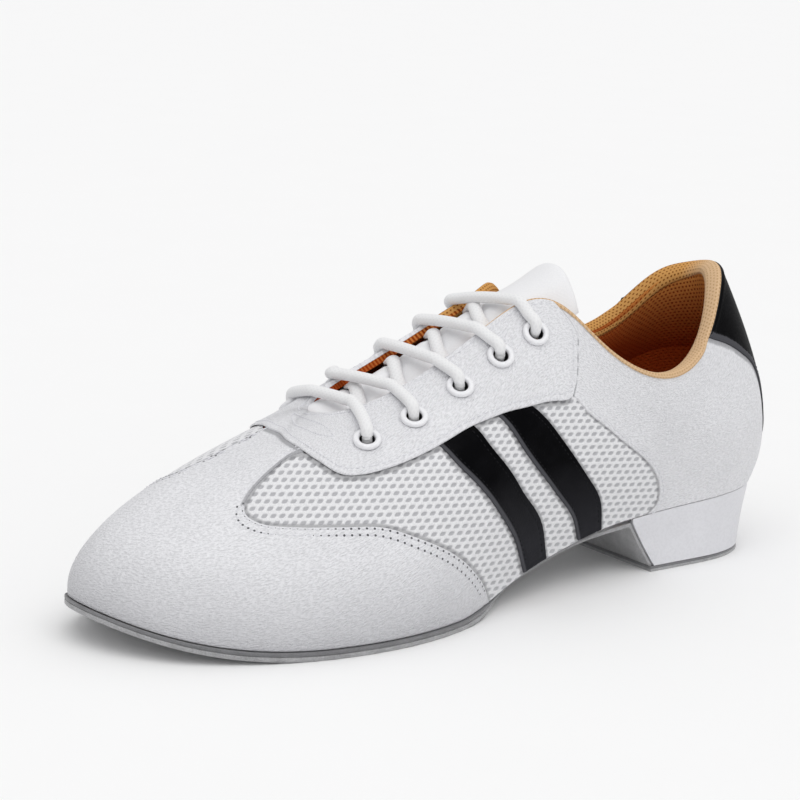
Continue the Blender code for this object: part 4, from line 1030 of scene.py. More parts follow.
def make_leather_panels():
    toe = edge_line(MESH_LOWER[-1][0], -MESH_LOWER[-1][0], 0.0)
    tuck = TUCK / REACH
    under_stay = [(turn, rise + tuck) for turn, rise in STAY if turn < MESH_FRONT[-1][0]]
    under_stay_inner = mirrored([(turn, rise + tuck) for turn, rise in STAY
                                 if turn < MESH_FRONT_INNER[-1][0]])
    vamp = toe + list(reversed(LOWER_INNER))[1:] + FRONT_INNER[1:]
    vamp += list(reversed(under_stay_inner)) + under_stay[1:]
    vamp += list(reversed(FRONT)) + LOWER[1:-1]
    # Along these edges the vamp gets its painted shadow lines.
    stay_line = in_plane(STAY)
    stay_lines = [stay_line, stay_line * (-1, 1), in_plane(FRONT), in_plane(FRONT_INNER)]
    make_panel("vamp_leather", vamp, WHITE, 0.0, LEATHER_BACK, 1.7,
               replaces=["vamp"], relief=vamp_relief, edge_rows=STITCHED_ROWS, shadow_and_edge_lines=stay_lines)

    side = [(turn + TUCK / GIRTH, rise) for turn, rise in TAB]
    inner_corner = [(turn - TUCK / GIRTH, rise) for turn, rise in STAY_REAR if rise > 0.62]
    quarter = MESH_BACK + inner_corner + edge_line(inner_corner[-1][0], side[0][0], 1.0)[1:-1]
    quarter += [point for point in side if point[0] < 0.4995]
    quarter += [(0.4995, side[-1][1]), (0.4995, 0.0)] + edge_line(0.4995, 0.376, 0.0)[1:-1]

    def quarter_relief(flat, distance):
        groove = stitch_groove(0.10, 1.6, 0.5)(flat, distance) * smooth_step(np.abs(flat[:, 1]), 2.0, 6.0)
        groove = groove * (1 - smooth_step(np.abs(flat[:, 0]) / GIRTH, 0.385, 0.40))
        return groove + softly_uneven(flat) * smooth_step(distance, 1.0, 6.0)

    # Along the heel tab's edge, and faintly along the eyestay's rear edge, the quarters get painted shadow
    # lines.
    tab_lines = [in_plane(TAB)]
    rear_line = in_plane(STAY_REAR)
    make_panel("quarter_outer_leather", quarter, WHITE, 0.0, LEATHER_BACK, 1.8,
               replaces=["quarter_outer"], relief=quarter_relief, edge_rows=STITCHED_ROWS[:7],
               shadow_and_edge_lines=tab_lines, faint=[rear_line])
    make_panel("quarter_inner_leather", mirrored(quarter), WHITE, 0.0, LEATHER_BACK, 1.8,
               replaces=["quarter_inner"], relief=quarter_relief, edge_rows=STITCHED_ROWS[:7],
               shadow_and_edge_lines=[line * (-1, 1) for line in tab_lines], faint=[rear_line * (-1, 1)])


def make_eyestay():
    throat = edge_line(STAY_REAR[-1][0], -STAY_REAR[-1][0], 1.0)
    outline = STAY + STAY_REAR + throat[1:-1] + list(reversed(mirrored(STAY_REAR)))
    outline += list(reversed(mirrored(STAY[1:])))
    inner_edge = list(reversed(mirrored(STAY_REAR))) + list(reversed(mirrored(STAY[1:])))
    lower_edge = in_plane(inner_edge + STAY + STAY_REAR)

    def inner(turn, rise, distance):
        flat = np.stack([turn * GIRTH, rise * REACH], 1)
        away = distance_to(flat, lower_edge, False)
        below = STAY_UNDER + (LEATHER_BACK - STAY_UNDER) * smooth_step(away, TUCK + 0.3, TUCK + 1.6)
        return below - throat_dip(turn, rise)

    def outer(turn, rise, distance):
        return STAY_TOP - throat_dip(turn, rise)

    def relief(flat, distance):
        return stitch_groove(0.10, 1.7, 0.5)(flat, distance) + 0.4 * softly_uneven(flat)

    make_panel("eyestay_leather", outline, WHITE, outer, inner, 1.5,
               holes=EYELET_HOLES, replaces=["eyestay"], relief=relief, edge_rows=STITCHED_ROWS[:7])


def make_heel_tab():
    far = list(reversed(across_heel(TAB)))[1:]
    outline = TAB + far + edge_line(far[-1][0], TAB[0][0], 1.0)[1:-1]

    def inner(turn, rise, distance):
        return TAB_UNDER + (-0.6 - TAB_UNDER) * smooth_step(distance, TUCK + 0.3, TUCK + 1.6)

    def relief(flat, distance):
        piping = 0.22 * np.exp(-((distance - 0.9) / 0.55) ** 2)
        return piping + stitch_groove(0.14, 1.9, 0.35)(flat, distance)

    make_panel("heel_tab_leather", outline, BLACK, TAB_TOP - 0.25, inner, 1.2,
               replaces=["heel_tab"], relief=relief,
               shadow_and_edge_lines=[line_inside(TAB, 0.9, 1), line_inside(across_heel(TAB), 0.9, -1)])


def band_outline(front_rows, rear_rows):
    """A band's outline on the outer side, with its head tucked under the eyestay."""
    front_edge = smooth_line(front_rows, 2.0)
    rear_edge = smooth_line(rear_rows, 2.0)
    head = [(rear_edge[0][0] - 0.004, rear_edge[0][1] + 0.035),
            (front_edge[0][0] - 0.004, front_edge[0][1] + 0.035)]
    return front_edge + list(reversed(rear_edge)) + head


def make_bands():
    for number, (front_rows, rear_rows) in enumerate(BANDS, 1):
        outline = BAND_OUTLINES[number - 1]
        top_rise = 0.5 * (front_rows[0][1] + rear_rows[0][1])

        def outer(turn, rise, distance):
            return BAND_TOP + 0.10 - 0.25 * smooth_step(rise, top_rise - 0.06, top_rise + 0.02)

        def relief(flat, distance):
            return stitch_groove(0.12, 1.5, 0.35)(flat, distance)

        for side, word in ((1, "outer"), (-1, "inner")):
            make_panel("band_%s_%d" % (word, number), outline if side > 0 else mirrored(outline),
                       BLACK, outer, BAND_UNDER, 1.1, 0.8, 0.35,
                       replaces=["side_band_%s_%d" % (word, number)], relief=relief,
                       edge_rows=(0.12, 0.28, 0.6, 1.0, 1.5, 2.0),
                       shadow_and_edge_lines=[in_plane(smooth_line(front_rows, 2.0)) * (side, 1)])


# Stitching

def stitch_rows(name, rows, look, pitch=2.85, length=1.9, radius=0.24, pinholes=True):
    """Separate thread stitches along rows of flat places; each row has its lift."""
    rings = 5
    sides = 6
    vertices = []
    faces = []
    planes = []
    hole_vertices = []
    hole_faces = []
    for line, lift in rows:
        points = resampled(line, pitch, False)
        starts = points[:-1]
        ends = points[1:]
        ways = unit(ends - starts)
        for start, way in zip(starts, ways):
            a = start + way * (pitch - length) / 2
            shares = np.linspace(0, 1, rings)
            flat = a + way * (shares * length)[:, None]
            turn = flat[:, 0] / GIRTH
            rise = np.clip(flat[:, 1] / REACH, 0, 1)
            normal = surface_normal(turn, rise)
            arch = np.sin(math.pi * shares)
            height = lift - throat_dip(turn, rise) - 0.12 + 0.26 * arch
            centre = last_surface(turn, rise) + normal * height[:, None]
            run = unit(np.gradient(centre, axis=0))
            side = unit(np.cross(run, normal))
            upward = np.cross(side, run)
            base = len(vertices)
            for i in range(rings):
                size = radius * (0.55 + 0.45 * arch[i])
                for j in range(sides):
                    angle = 2 * math.pi * j / sides
                    ray = side[i] * math.cos(angle) + upward[i] * math.sin(angle)
                    vertices.append(centre[i] + ray * size)
                    planes.append(flat[i])
            faces += [tuple(base + k for k in face) for face in ring_faces(rings, sides)]
            faces.append(tuple(base + j for j in range(sides)))
            faces.append(tuple(base + (rings - 1) * sides + j for j in range(sides)))
            if pinholes:
                # A dark disc painted as the shade in the needle hole.
                turn0, rise0 = start[0] / GIRTH, min(max(start[1] / REACH, 0), 1)
                normal0 = surface_normal(turn0, rise0)
                spot = last_surface(turn0, rise0) + normal0 * (lift + 0.07)
                first = unit(np.cross(normal0, UP))
                second = np.cross(normal0, first)
                base = len(hole_vertices)
                hole_vertices.append(spot)
                for j in range(8):
                    angle = 2 * math.pi * j / 8
                    ray = first * math.cos(angle) + second * math.sin(angle)
                    hole_vertices.append(spot + ray * 0.40 - normal0 * 0.03)
                hole_faces += [(base, base + 1 + j, base + 1 + (j + 1) % 8) for j in range(8)]
    add_piece(name, vertices, faces, look, (), planes, 60.0)
    if pinholes:
        add_piece(name + "_pinholes", hole_vertices, hole_faces, PINHOLE, (), None, 60.0)


def line_inside(rows, offset, side):
    """A line of rows in the flat sheet, moved sideways; side 1 is to the left of its run."""
    points = resampled(in_plane(rows), 1.0, False)
    run = unit(np.gradient(points, axis=0))
    return points + np.stack([-run[:, 1], run[:, 0]], 1) * offset * side


def make_stitches():
    """Double rows below the mesh with their needle holes; plain rows on the eyestay, quarters and lens."""
    holed = []
    plain = []
    groove = -0.10
    lens_low = [(-0.018, 0.952), (0.006, 0.923), (0.038, 0.900), (0.068, 0.880), (0.1035, 0.840),
                (0.116, 0.832)]
    lens_high = [(-0.018, 0.952), (0.045, 0.947), (0.086, 0.923), (0.106, 0.885), (0.116, 0.832)]
    for side in (1, -1):
        edge = LOWER if side > 0 else list(reversed(mirrored(FRONT_INNER))) + mirrored(LOWER_INNER)[1:]
        for offset in (0.6, 2.3):
            line = line_inside(edge, offset, -1)
            line = line[(line[:, 1] > 2.5)]
            holed.append((line * (side, 1), groove))
        if side > 0:
            for offset in (1.7, 3.3):
                plain.append((line_inside(list(reversed(FRONT)), offset, -1)[3:-3], groove))
        line = line_inside(MESH_BACK, 1.6, -1)
        plain.append((line * (side, 1), groove))
        line = line_inside(STAY[:-1] + STAY_REAR, 1.9, 1)
        plain.append((line * (side, 1), STAY_TOP + groove))
        edge_row = in_plane([(turn, 1.0 - 1.9 / REACH) for turn in np.linspace(0.02, 0.293, 60)])
        plain.append((edge_row * (side, 1), STAY_TOP + groove))
    for lens in (lens_low, lens_high):
        plain.append((in_plane(smooth_line(lens, 2.0)), STAY_TOP))
    stitch_rows("white_stitches", holed, THREAD)
    stitch_rows("plain_stitches", plain, THREAD, 2.7, 2.0, 0.22, False)
    dark_rows = []
    for front_rows, rear_rows in BANDS:
        for side in (1, -1):
            line = line_inside(smooth_line(front_rows, 2.0), 1.5, 1)
            dark_rows.append((line[line[:, 1] > 3.0] * (side, 1), BAND_TOP - 0.12))
            line = line_inside(smooth_line(rear_rows, 2.0), 1.5, -1)
            dark_rows.append((line[line[:, 1] > 3.0] * (side, 1), BAND_TOP - 0.12))
    tab = line_inside(TAB, 1.9, 1)
    dark_rows.append((tab, TAB_TOP - 0.35))
    dark_rows.append((np.stack([GIRTH - tab[:, 0], tab[:, 1]], 1), TAB_TOP - 0.35))
    stitch_rows("dark_stitches", dark_rows, DARK_THREAD, 2.2, 1.5, 0.2, False)


# Collar

def collar_ring(turn, first, last):
    """Closed sections of the collar's binding and of its padding at one turn, with their flat places."""
    share = math.sin(math.pi * min(max((turn - first) / (last - first), 0.0), 1.0)) ** 1.2
    side = float(smooth_step(0.5 - abs(turn - 0.5), 0.250, 0.280))
    lapped = float(smooth_step(abs(turn - 0.5), 0.062, 0.075))
    back = math.exp(-((turn - 0.5) / 0.10) ** 2)
    rim = 0.35 + 0.55 * side + 0.2 * back
    thick = 3.2 + 0.4 * side + 2.9 * share
    lap = (0.35 + 1.15 * side) * lapped
    start = 0.14 * lapped - 0.35 * (1 - lapped)
    slope = float(smooth_step(turn, 0.505, 0.56))
    wide = 0.6 + 0.5 * side + 3.2 * slope
    deep = 2.5 + 25.0 * share
    binding = [
        (start, -lap), (start + 0.22, -0.75 * lap), (start + 0.30, -0.3 * lap), (start + 0.12, 0.45 * rim),
        (start - 0.5, 0.82 * rim), (-1.6, rim - 0.3 * slope), (-0.5 * thick - 1.1, 0.97 * rim - 0.9 * slope),
        (-0.8 * thick - 0.5, 0.6 * rim - 1.8 * slope), (-thick - 0.05, -0.35 * wide - 1.2 * slope),
        (-thick - 0.22, -0.7 * wide - 0.5 * slope), (-thick - 0.02, -wide),
        (-thick + 0.7, -wide - 0.1), (-2.6, -0.25), (-0.9, -0.22),
    ]
    padding = [
        (-3.0, -0.4), (-thick + 0.9, -0.5), (-thick + 0.25, -0.5 * wide), (-thick + 0.05, -wide),
        (-thick - 0.12, -wide - 0.6), (-thick - 0.30, -wide - 0.16 * deep),
        (-thick - 0.25, -wide - 0.34 * deep),
        (-0.85 * thick - 0.6, -wide - 0.52 * deep), (-0.6 * thick - 1.25, -wide - 0.70 * deep),
        (-0.3 * thick - 2.2, -wide - 0.85 * deep), (-3.1, -wide - 0.97 * deep), (-3.02, -wide - 0.90 * deep),
        (-3.0, -0.5 * deep - 0.5),
    ]
    return binding, padding


def collar_place(turn, lift, height):
    """A point beside the top edge: out of the leather's face, and up from the edge or down inside it."""
    lift = lift - float(throat_dip(turn - 1.0, 1.0 + min(height, 0.0) / REACH))
    edge = top_edge(turn) + surface_normal(turn, 1.0) * lift + climb_at(turn, 1.0) * height
    if height >= 0:
        return edge
    sunk = lifted(turn, 1.0 + height / REACH, lift)
    share = min(-height / 1.5, 1.0)
    return edge * (1 - share) + sunk * share


def make_collar():
    """Padded tan collar: a rolled binding over the top edge, and knit padding down the inside."""
    for name, part, first, last, look, replaces in (
            ("collar_binding", 0, 0.247, 0.753, BINDING, ["collar_pad"]),
            ("collar_padding", 1, 0.305, 0.695, LINING, ["collar_pad"])):
        stations = 190
        rings = []
        planes = []
        for i in range(stations + 1):
            turn = first + (last - first) * i / stations
            shape = collar_ring(turn, 0.305, 0.695)[part]
            rings.append([collar_place(turn, lift, height) for lift, height in shape])
            run = 0.0
            for j, (lift, height) in enumerate(shape):
                if j:
                    run += math.hypot(lift - shape[j - 1][0], height - shape[j - 1][1])
                planes.append((turn * GIRTH, run))
        size = len(rings[0])
        vertices = [point for ring in rings for point in ring]
        faces = ring_faces(len(rings), size)
        faces.append(tuple(range(size)))
        faces.append(tuple(range(len(vertices) - size, len(vertices))))
        made = add_piece(name, vertices, faces, look, replaces, planes, 70.0)


# Soles

def turn_at(x, start, end):
    """Turn between start and end where the foot outline reaches x."""
    low, high = start, end
    rising = foot(np.array(end))[0] > foot(np.array(start))[0]
    for _ in range(40):
        middle = (low + high) / 2
        if (foot(np.array(middle))[0] < x) == rising:
            low = middle
        else:
            high = middle
    return (low + high) / 2


TOE_X = float(foot(np.array(0.0))[0]) + 0.1
HEEL_X = float(foot(np.array(0.5))[0]) - 0.1
BREAST_X = BACK_X - BREAST_ALONG * SHOE_LENGTH
OUTSOLE = 1.4
GAP = 0.3
HEEL_LIP = 2.85


def sole_rows(margin, toe_x, back_x, stations):
    rows = []
    for i in range(stations + 1):
        share = (1 - math.cos(math.pi * i / stations)) / 2
        x = toe_x + (back_x - toe_x) * share
        along = (BACK_X - x) / SHOE_LENGTH
        pair = []
        for start in (0.0, 1.0):
            turn = np.array(turn_at(x, start, 0.5))
            pair.append(foot(turn) + outwards(turn) * margin(along))
        rows.append(pair)
    return rows


def slab_rings(rows, low, high, roll, fuzz=0.0):
    """Rings of a sole layer with rounded edges and, if asked, a fuzzy cut edge."""
    rings = []
    middle_height = 0.5 * (low + high)
    for i, (outer, inner) in enumerate(rows):
        width = np.linalg.norm(outer - inner)
        way = (outer - inner) / max(width, 1e-6)
        profile = [(-roll, low), (-0.35 * roll, low + 0.12 * (high - low)), (0.0, middle_height),
                   (-0.25 * roll, high - 0.12 * (high - low)), (-roll, high)]
        ring = []
        for place, sign, order in ((outer, 1, profile), (inner, -1, list(reversed(profile)))):
            for j, (inset, lift) in enumerate(order):
                rough = 0.0
                if j not in (0, 4):
                    rough = fuzz * math.sin(i * 2.7 + j * 1.9 + 3.0 * math.sin(i * 0.9))
                moved = place + way * sign * min(inset + rough, 0.3)
                if width < 2 * roll:
                    moved = place
                ring.append((moved[0], moved[1], float(bottom_line(moved[0])) + lift))
            if sign > 0:
                for t in (0.25, 0.5, 0.75):
                    across = outer * (1 - t) + inner * t
                    ring.append((across[0], across[1], float(bottom_line(across[0])) + high))
        for t in (0.75, 0.5, 0.25):
            across = outer * (1 - t) + inner * t
            ring.append((across[0], across[1], float(bottom_line(across[0])) + low))
        rings.append(ring)
    return rings


def loft_rings(name, rings, look, replaces, sharp=40.0):
    size = len(rings[0])
    vertices = np.array([point for ring in rings for point in ring])
    faces = ring_faces(len(rings), size)
    faces.append(tuple(range(size)))
    faces.append(tuple(range(len(vertices) - size, len(vertices))))
    return add_piece(name, vertices, faces, look, replaces, vertices[:, :2], sharp)


def forefoot_margin(along):
    """The midsole shows at the forefoot and is tucked in behind it."""
    return -1.9 + 2.9 * float(smooth_step(along, 0.44, 0.54))


def outsole_margin(along):
    at_waist = -4.0 + 5.0 * float(smooth_step(along, 0.44, 0.54))
    return at_waist + 3.0 * (1 - float(smooth_step(along, BREAST_ALONG, BREAST_ALONG + 0.10)))


def heel_shape(level, plan, front, back):
    share = (plan[0] - front) / (back - front)
    lean = 11.0 * (1 - share) - 5.0 * share
    narrow = 1 - 0.04 * level - 0.02 * math.sin(math.pi * level)
    return plan[0] + lean * level, plan[1] * narrow


def make_soles():
    rows = sole_rows(forefoot_margin, TOE_X, HEEL_X, 150)
    loft_rings("midsole_edge", slab_rings(rows, 1.7, 2.75, 0.25, 0.04), BOARD, ["midsole"])

    rows = sole_rows(outsole_margin, TOE_X, BREAST_X - 2 * OUTSOLE - GAP, 150)
    rings = slab_rings(rows, 0.0, 1.55, 0.3, 0.12)
    seat = float(bottom_line(BREAST_X)) + OUTSOLE
    half = abs(float(foot(np.array(turn_at(BREAST_X, 0.3, 0.5)))[1])) - 1.2
    drop = seat - CAP_TOP
    for level in np.linspace(0.0, 1.0, 9):
        width = half * (1 - 0.04 * level - 0.02 * math.sin(math.pi * level))
        near = BREAST_X + 11.0 * level - GAP
        far = near - OUTSOLE
        height = seat - drop * level
        low = height - (OUTSOLE if level == 0.0 else 0.0)
        ring = []
        for j, share in enumerate((0.0, 0.1, 0.5, 0.9, 1.0)):
            round_off = 0.3 if j in (0, 4) else 0.0
            ring.append((far + OUTSOLE * share, -width + round_off, low + (height - low) * share))
        for t in (0.25, 0.5, 0.75):
            ring.append((near, -width + 2 * width * t, height))
        for j, share in enumerate((1.0, 0.9, 0.5, 0.1, 0.0)):
            round_off = 0.3 if j in (0, 4) else 0.0
            ring.append((far + OUTSOLE * share, width - round_off, low + (height - low) * share))
        for t in (0.75, 0.5, 0.25):
            ring.append((far, -width + 2 * width * t, low))
        rings.append(ring)
    loft_rings("outsole_suede", rings, SUEDE, ["outsole"])

    stations = 60
    levels = np.linspace(0.0, 1.0, 11)
    rings = []
    for i in range(stations + 1):
        share = math.sin(0.5 * math.pi * i / stations)
        x = BREAST_X + (HEEL_X - BREAST_X) * share
        outer = foot(np.array(turn_at(x, 0.3, 0.5))) + np.array([0.0, 0.4])
        inner = foot(np.array(turn_at(x, 0.7, 0.5))) - np.array([0.0, 0.4])
        seat_height = float(bottom_line(x))
        lip = seat_height + HEEL_LIP
        narrow = np.array([0.0, min(1.3, 0.45 * abs(outer[1] - inner[1]))])
        base = seat_height + OUTSOLE
        down = [tuple(outer + narrow) + (base,), tuple(outer + narrow) + (lip,), tuple(outer) + (lip,)]
        up = [tuple(inner - narrow) + (base,), tuple(inner - narrow) + (lip,), tuple(inner) + (lip,)]
        for level in levels:
            height = base + (CAP_TOP - base) * level
            down.append(heel_shape(level, outer, BREAST_X, HEEL_X) + (height,))
            up.append(heel_shape(level, inner, BREAST_X, HEEL_X) + (height,))
        rings.append(down + list(reversed(up)))
    loft_rings("heel_block_cover", rings, HEEL_COVER, ["heel_block"], 35.0)

    for name, low, high, shrink, look, slot, replaces in (
            ("heel_cap_suede", 0.0, 0.95, 0.0, SUEDE, "grey_suede", ["heel_cap"]),
            ("heel_cap_board", 0.95, 1.75, 0.15, BOARD, "dark_board", ["heel_cap"])):
        rings = []
        for i in range(stations + 1):
            share = math.sin(0.5 * math.pi * i / stations)
            x = BREAST_X + (HEEL_X - BREAST_X) * share
            outer = foot(np.array(turn_at(x, 0.3, 0.5))) + np.array([0.0, 0.1 + shrink])
            inner = foot(np.array(turn_at(x, 0.7, 0.5))) - np.array([0.0, 0.1 + shrink])
            near = heel_shape(1.0, outer, BREAST_X, HEEL_X)
            far = heel_shape(1.0, inner, BREAST_X, HEEL_X)
            shift = -(OUTSOLE + GAP) * (1 - share)
            near_x, far_x, middle = near[0] + shift, far[0] + shift, (low + high) / 2
            rings.append([(near_x, near[1] + 0.15, low), (near_x, near[1], middle),
                          (near_x, near[1] + 0.15, high), (far_x, far[1] - 0.15, high),
                          (far_x, far[1], middle), (far_x, far[1] - 0.15, low)])
        loft_rings(name, rings, look, replaces, 35.0)

    rows = sole_rows(lambda along: -3.4, TOE_X, HEEL_X, 80)
    loft_rings("insole_lining", slab_rings(rows, 3.0, 5.0, 0.6), LINING, ["insole"])


# Tongue, eyelets and laces

def even_points(points, count):
    points = np.array(points)
    run = run_along(points)
    wanted = np.linspace(0.0, run[-1], count)
    return np.stack([np.interp(wanted, run, points[:, axis]) for axis in range(3)], 1)


def tongue_row(turn, low_rise):
    """Points across the tongue at one section pair, under both facings and over the gap."""
    free = float(smooth_step(turn, 0.12, 0.17))
    depth = -1.9 - 1.65 * free
    sink = 2.2 * free
    rises = np.linspace(low_rise, 1.0, 5)
    outer = [lifted(turn, rise, depth) for rise in rises]
    inner = [lifted(-turn, rise, depth - sink) for rise in rises]
    span = np.linalg.norm(outer[-1] - inner[-1])
    outer_run = unit(outer[-1] - outer[-2]) * span / 4
    inner_run = unit(inner[-1] - inner[-2]) * span / 4
    middle = []
    for t in np.linspace(0, 1, 10)[1:-1]:
        middle.append(cubic(outer[-1], outer[-1] + outer_run, inner[-1] + inner_run, inner[-1], t))
    return even_points(outer + middle + list(reversed(inner)), 9)


def refined(rows, factor):
    """A finer table of points along the first axis, on a rounded line through the rows."""
    rows = np.asarray(rows, float)
    padded = np.concatenate([2 * rows[:1] - rows[1:2], rows, 2 * rows[-1:] - rows[-2:-1]])
    found = []
    for i in range(1, len(padded) - 2):
        before, start, end, after = padded[i - 1], padded[i], padded[i + 1], padded[i + 2]
        for j in range(factor):
            t = j / factor
            first = (end - before) * 0.5
            last = (after - start) * 0.5
            found.append(start * (1 + 2 * t) * (1 - t) ** 2 + first * t * (1 - t) ** 2
                         + end * t * t * (3 - 2 * t) + last * t * t * (t - 1))
    found.append(rows[-1])
    return np.array(found)


def tongue_grid():
    rows = [tongue_row(turn, low_rise) for turn, low_rise in [(0.05, 0.975)] + TONGUE_ROWS]
    last = rows[-1]
    crown = last[len(last) // 2]
    for forward, up, width, bow in TONGUE_TIP:
        shares = np.array([bow, width, bow])
        rows.append(crown + (last - crown) * shares + np.array([forward, 0.0, up]) * TONGUE_FREE)
    grid = refined(np.array(rows), 6)
    return refined(grid.transpose(1, 0, 2), 6).transpose(1, 0, 2)


def make_tongue(lace_runs):
    grid = tongue_grid()
    count_along, count_across = grid.shape[:2]
    along = np.gradient(grid, axis=0)
    across = np.gradient(grid, axis=1)
    normal = unit(np.cross(across, along))
    normal[normal[..., 2] > 0] *= -1
    for points, radii in lace_runs:
        for point, radius in zip(points, radii):
            gap = grid - point
            deep = np.einsum("ijk,ijk->ij", gap, normal)
            side = np.linalg.norm(gap - normal * deep[..., None], axis=2)
            reach = radius[0] + 1.2
            near = side < reach
            need = radius[1] * np.sqrt(np.clip(1 - (side / (radius[0] + 0.9)) ** 2, 0, 1)) + 0.15
            push = np.where(near & (deep < need) & (deep > -6.0), need - deep, 0.0)
            grid = grid + normal * push[..., None]
    across_share = np.linspace(-1, 1, count_across)
    along_share = np.linspace(0, 1, count_along)
    edge = np.minimum(1 - np.abs(across_share)[None, :] ** 6, 1 - along_share[:, None] ** 20)
    edge = np.minimum(edge, 1 - (1 - along_share[:, None]) ** 20)
    thick = TONGUE_THICK * np.sqrt(np.clip(edge, 0.02, 1))
    roll = 0.5 * (TONGUE_THICK - thick)
    top = grid + normal * roll[..., None]
    low = grid + normal * (roll + thick)[..., None]
    run_u = run_along(grid[:, count_across // 2])
    run_v = run_along(grid[count_along // 2])
    plane = np.stack(np.meshgrid(run_u, run_v, indexing="ij"), -1).reshape(-1, 2)
    ring_list = []
    planes = []
    index = plane.reshape(count_along, count_across, 2)
    for i in range(count_along):
        ring_list.append(list(top[i]) + list(low[i][::-1]))
        planes += list(index[i]) + list(index[i][::-1])
    size = 2 * count_across
    vertices = [point for ring in ring_list for point in ring]
    faces = ring_faces(count_along, size)
    for base in (0, (count_along - 1) * size):
        for j in range(count_across - 1):
            faces.append((base + j, base + j + 1, base + size - 2 - j, base + size - 1 - j))
    made = add_piece("tongue_padding", vertices, faces, TWILL, ["tongue"], planes, 60.0)


def eyelet_frame(place):
    normal = surface_normal(place[0], place[1])
    return last_surface(place[0], place[1]) + normal * EYELET_LIFT, normal


def make_eyelets():
    """Turned rings with a rolled flange and a barrel through the facing."""
    sides = 40
    profile = [(1.5, -3.1), (2.95, -3.1), (2.95, -0.55), (EYELET_OUTER - 0.25, -0.6), (EYELET_OUTER, -0.3)]
    for i in range(9):
        angle = math.pi * i / 8
        middle = 0.5 * (EYELET_OUTER + EYELET_HOLE + 0.1)
        half = 0.5 * (EYELET_OUTER - EYELET_HOLE - 0.1)
        profile.append((middle + half * math.cos(angle), 0.05 + (EYELET_RIM - 0.05) * math.sin(angle) ** 0.8))
    profile += [(EYELET_HOLE, -0.35), (EYELET_HOLE, -2.9), (1.5, -2.9)]
    bore_edge = 0.5 * (EYELET_HOLE + EYELET_OUTER)
    # Depth down the eyelet's bore, which darkens it with painted shade.
    bore_shade_depth = [max(0.0, -height) if radius < bore_edge else 0.0 for radius, height in profile]
    for number, place in enumerate(EYELETS, 1):
        for word, where in (("outer", place), ("inner", (-place[0], place[1]))):
            centre, normal = eyelet_frame(where)
            side = unit(np.cross(normal, np.array([1.0, 0.0, 0.0])))
            other = np.cross(normal, side)
            vertices = []
            planes = []
            for i in range(sides):
                angle = 2 * math.pi * i / sides
                ray = side * math.cos(angle) + other * math.sin(angle)
                for j, (radius, height) in enumerate(profile):
                    vertices.append(centre + ray * radius + normal * height)
                    planes.append((i, j))
            size = len(profile)
            faces = []
            for i in range(sides):
                k = (i + 1) % sides
                for j in range(size):
                    m = (j + 1) % size
                    faces.append((i * size + j, i * size + m, k * size + m, k * size + j))
            add_piece("ring_%s_%d" % (word, number), vertices, faces, ENAMEL,
                      ["eyelet_%s_%d" % (word, number)], planes, 50.0, marks={"bore_shade_depth": bore_shade_depth * sides})


def lace_end_points(place):
    """Lace from under the facing up through an eyelet and over its rim towards the throat."""
    centre, normal = eyelet_frame(place)
    climb = climb_at(place[0], place[1])
    points = [
        (centre - normal * 5.0 + climb * 1.5, (1.6, 1.0)),
        (centre - normal * 4.2 + climb * 0.4, (LACE_NECK, 1.4)),
        (centre - normal * 2.6 + climb * 0.3, (LACE_NECK, LACE_NECK)),
        (centre - normal * 0.6 + climb * 0.45, (LACE_NECK, LACE_NECK)),
        (centre + normal * 1.1 + climb * 1.1, (LACE_NECK + 0.15, LACE_NECK)),
        (centre + normal * 2.3 + climb * 2.9, (LACE_RADIUS, LACE_RADIUS - 0.1)),
    ]
    return points, normal


def lace_line(points, first_normal, last_normal):
    """Places, radii and normals of a run, its normals turning from one eyelet's to the other's."""
    normals = []
    for i in range(len(points)):
        share = i / (len(points) - 1)
        bent = first_normal * (1 - share) + last_normal * share
        normals.append(unit(bent + UP * math.sin(math.pi * share)))
    return [place for place, _ in points], [radii for _, radii in points], normals


def bar_run(place, slip):
    """One bar across the throat: down through both eyelets, lying on both facings, level over the gap.

    slip is how far toward the toe the bar crosses the inner side's throat edge.
    """
    start, first_normal = lace_end_points(place)
    end, last_normal = lace_end_points((-place[0], place[1]))
    points = list(start)
    rest = STAY_TOP + LACE_RADIUS - 0.15
    edges = []
    for turn in (place[0], -place[0] + slip):
        edges.append((lifted(turn, 1.0, rest + 0.05 - throat_dip(turn, 1.0)), climb_at(turn, 1.0)))
    (a, a_climb), (b, b_climb) = edges
    span = np.linalg.norm(b - a)
    chord = (b - a) / span
    near = a + unit(0.25 * a_climb + chord) * span / 3
    far = b + unit(0.25 * b_climb - chord) * span / 3
    oval = (LACE_RADIUS, LACE_RADIUS * 0.96)
    rise = place[1] + 0.55 * (1 - place[1])
    points.append((lifted(place[0], rise, rest + 0.05), oval))
    for t in np.linspace(0.0, 1.0, 7):
        points.append((cubic(a, near, far, b, t), oval))
    turn = -place[0] + 0.6 * slip
    points.append((lifted(turn, rise, rest + 0.05 - throat_dip(turn, rise)), oval))
    points += list(reversed(end))
    return lace_line(points, first_normal, last_normal)


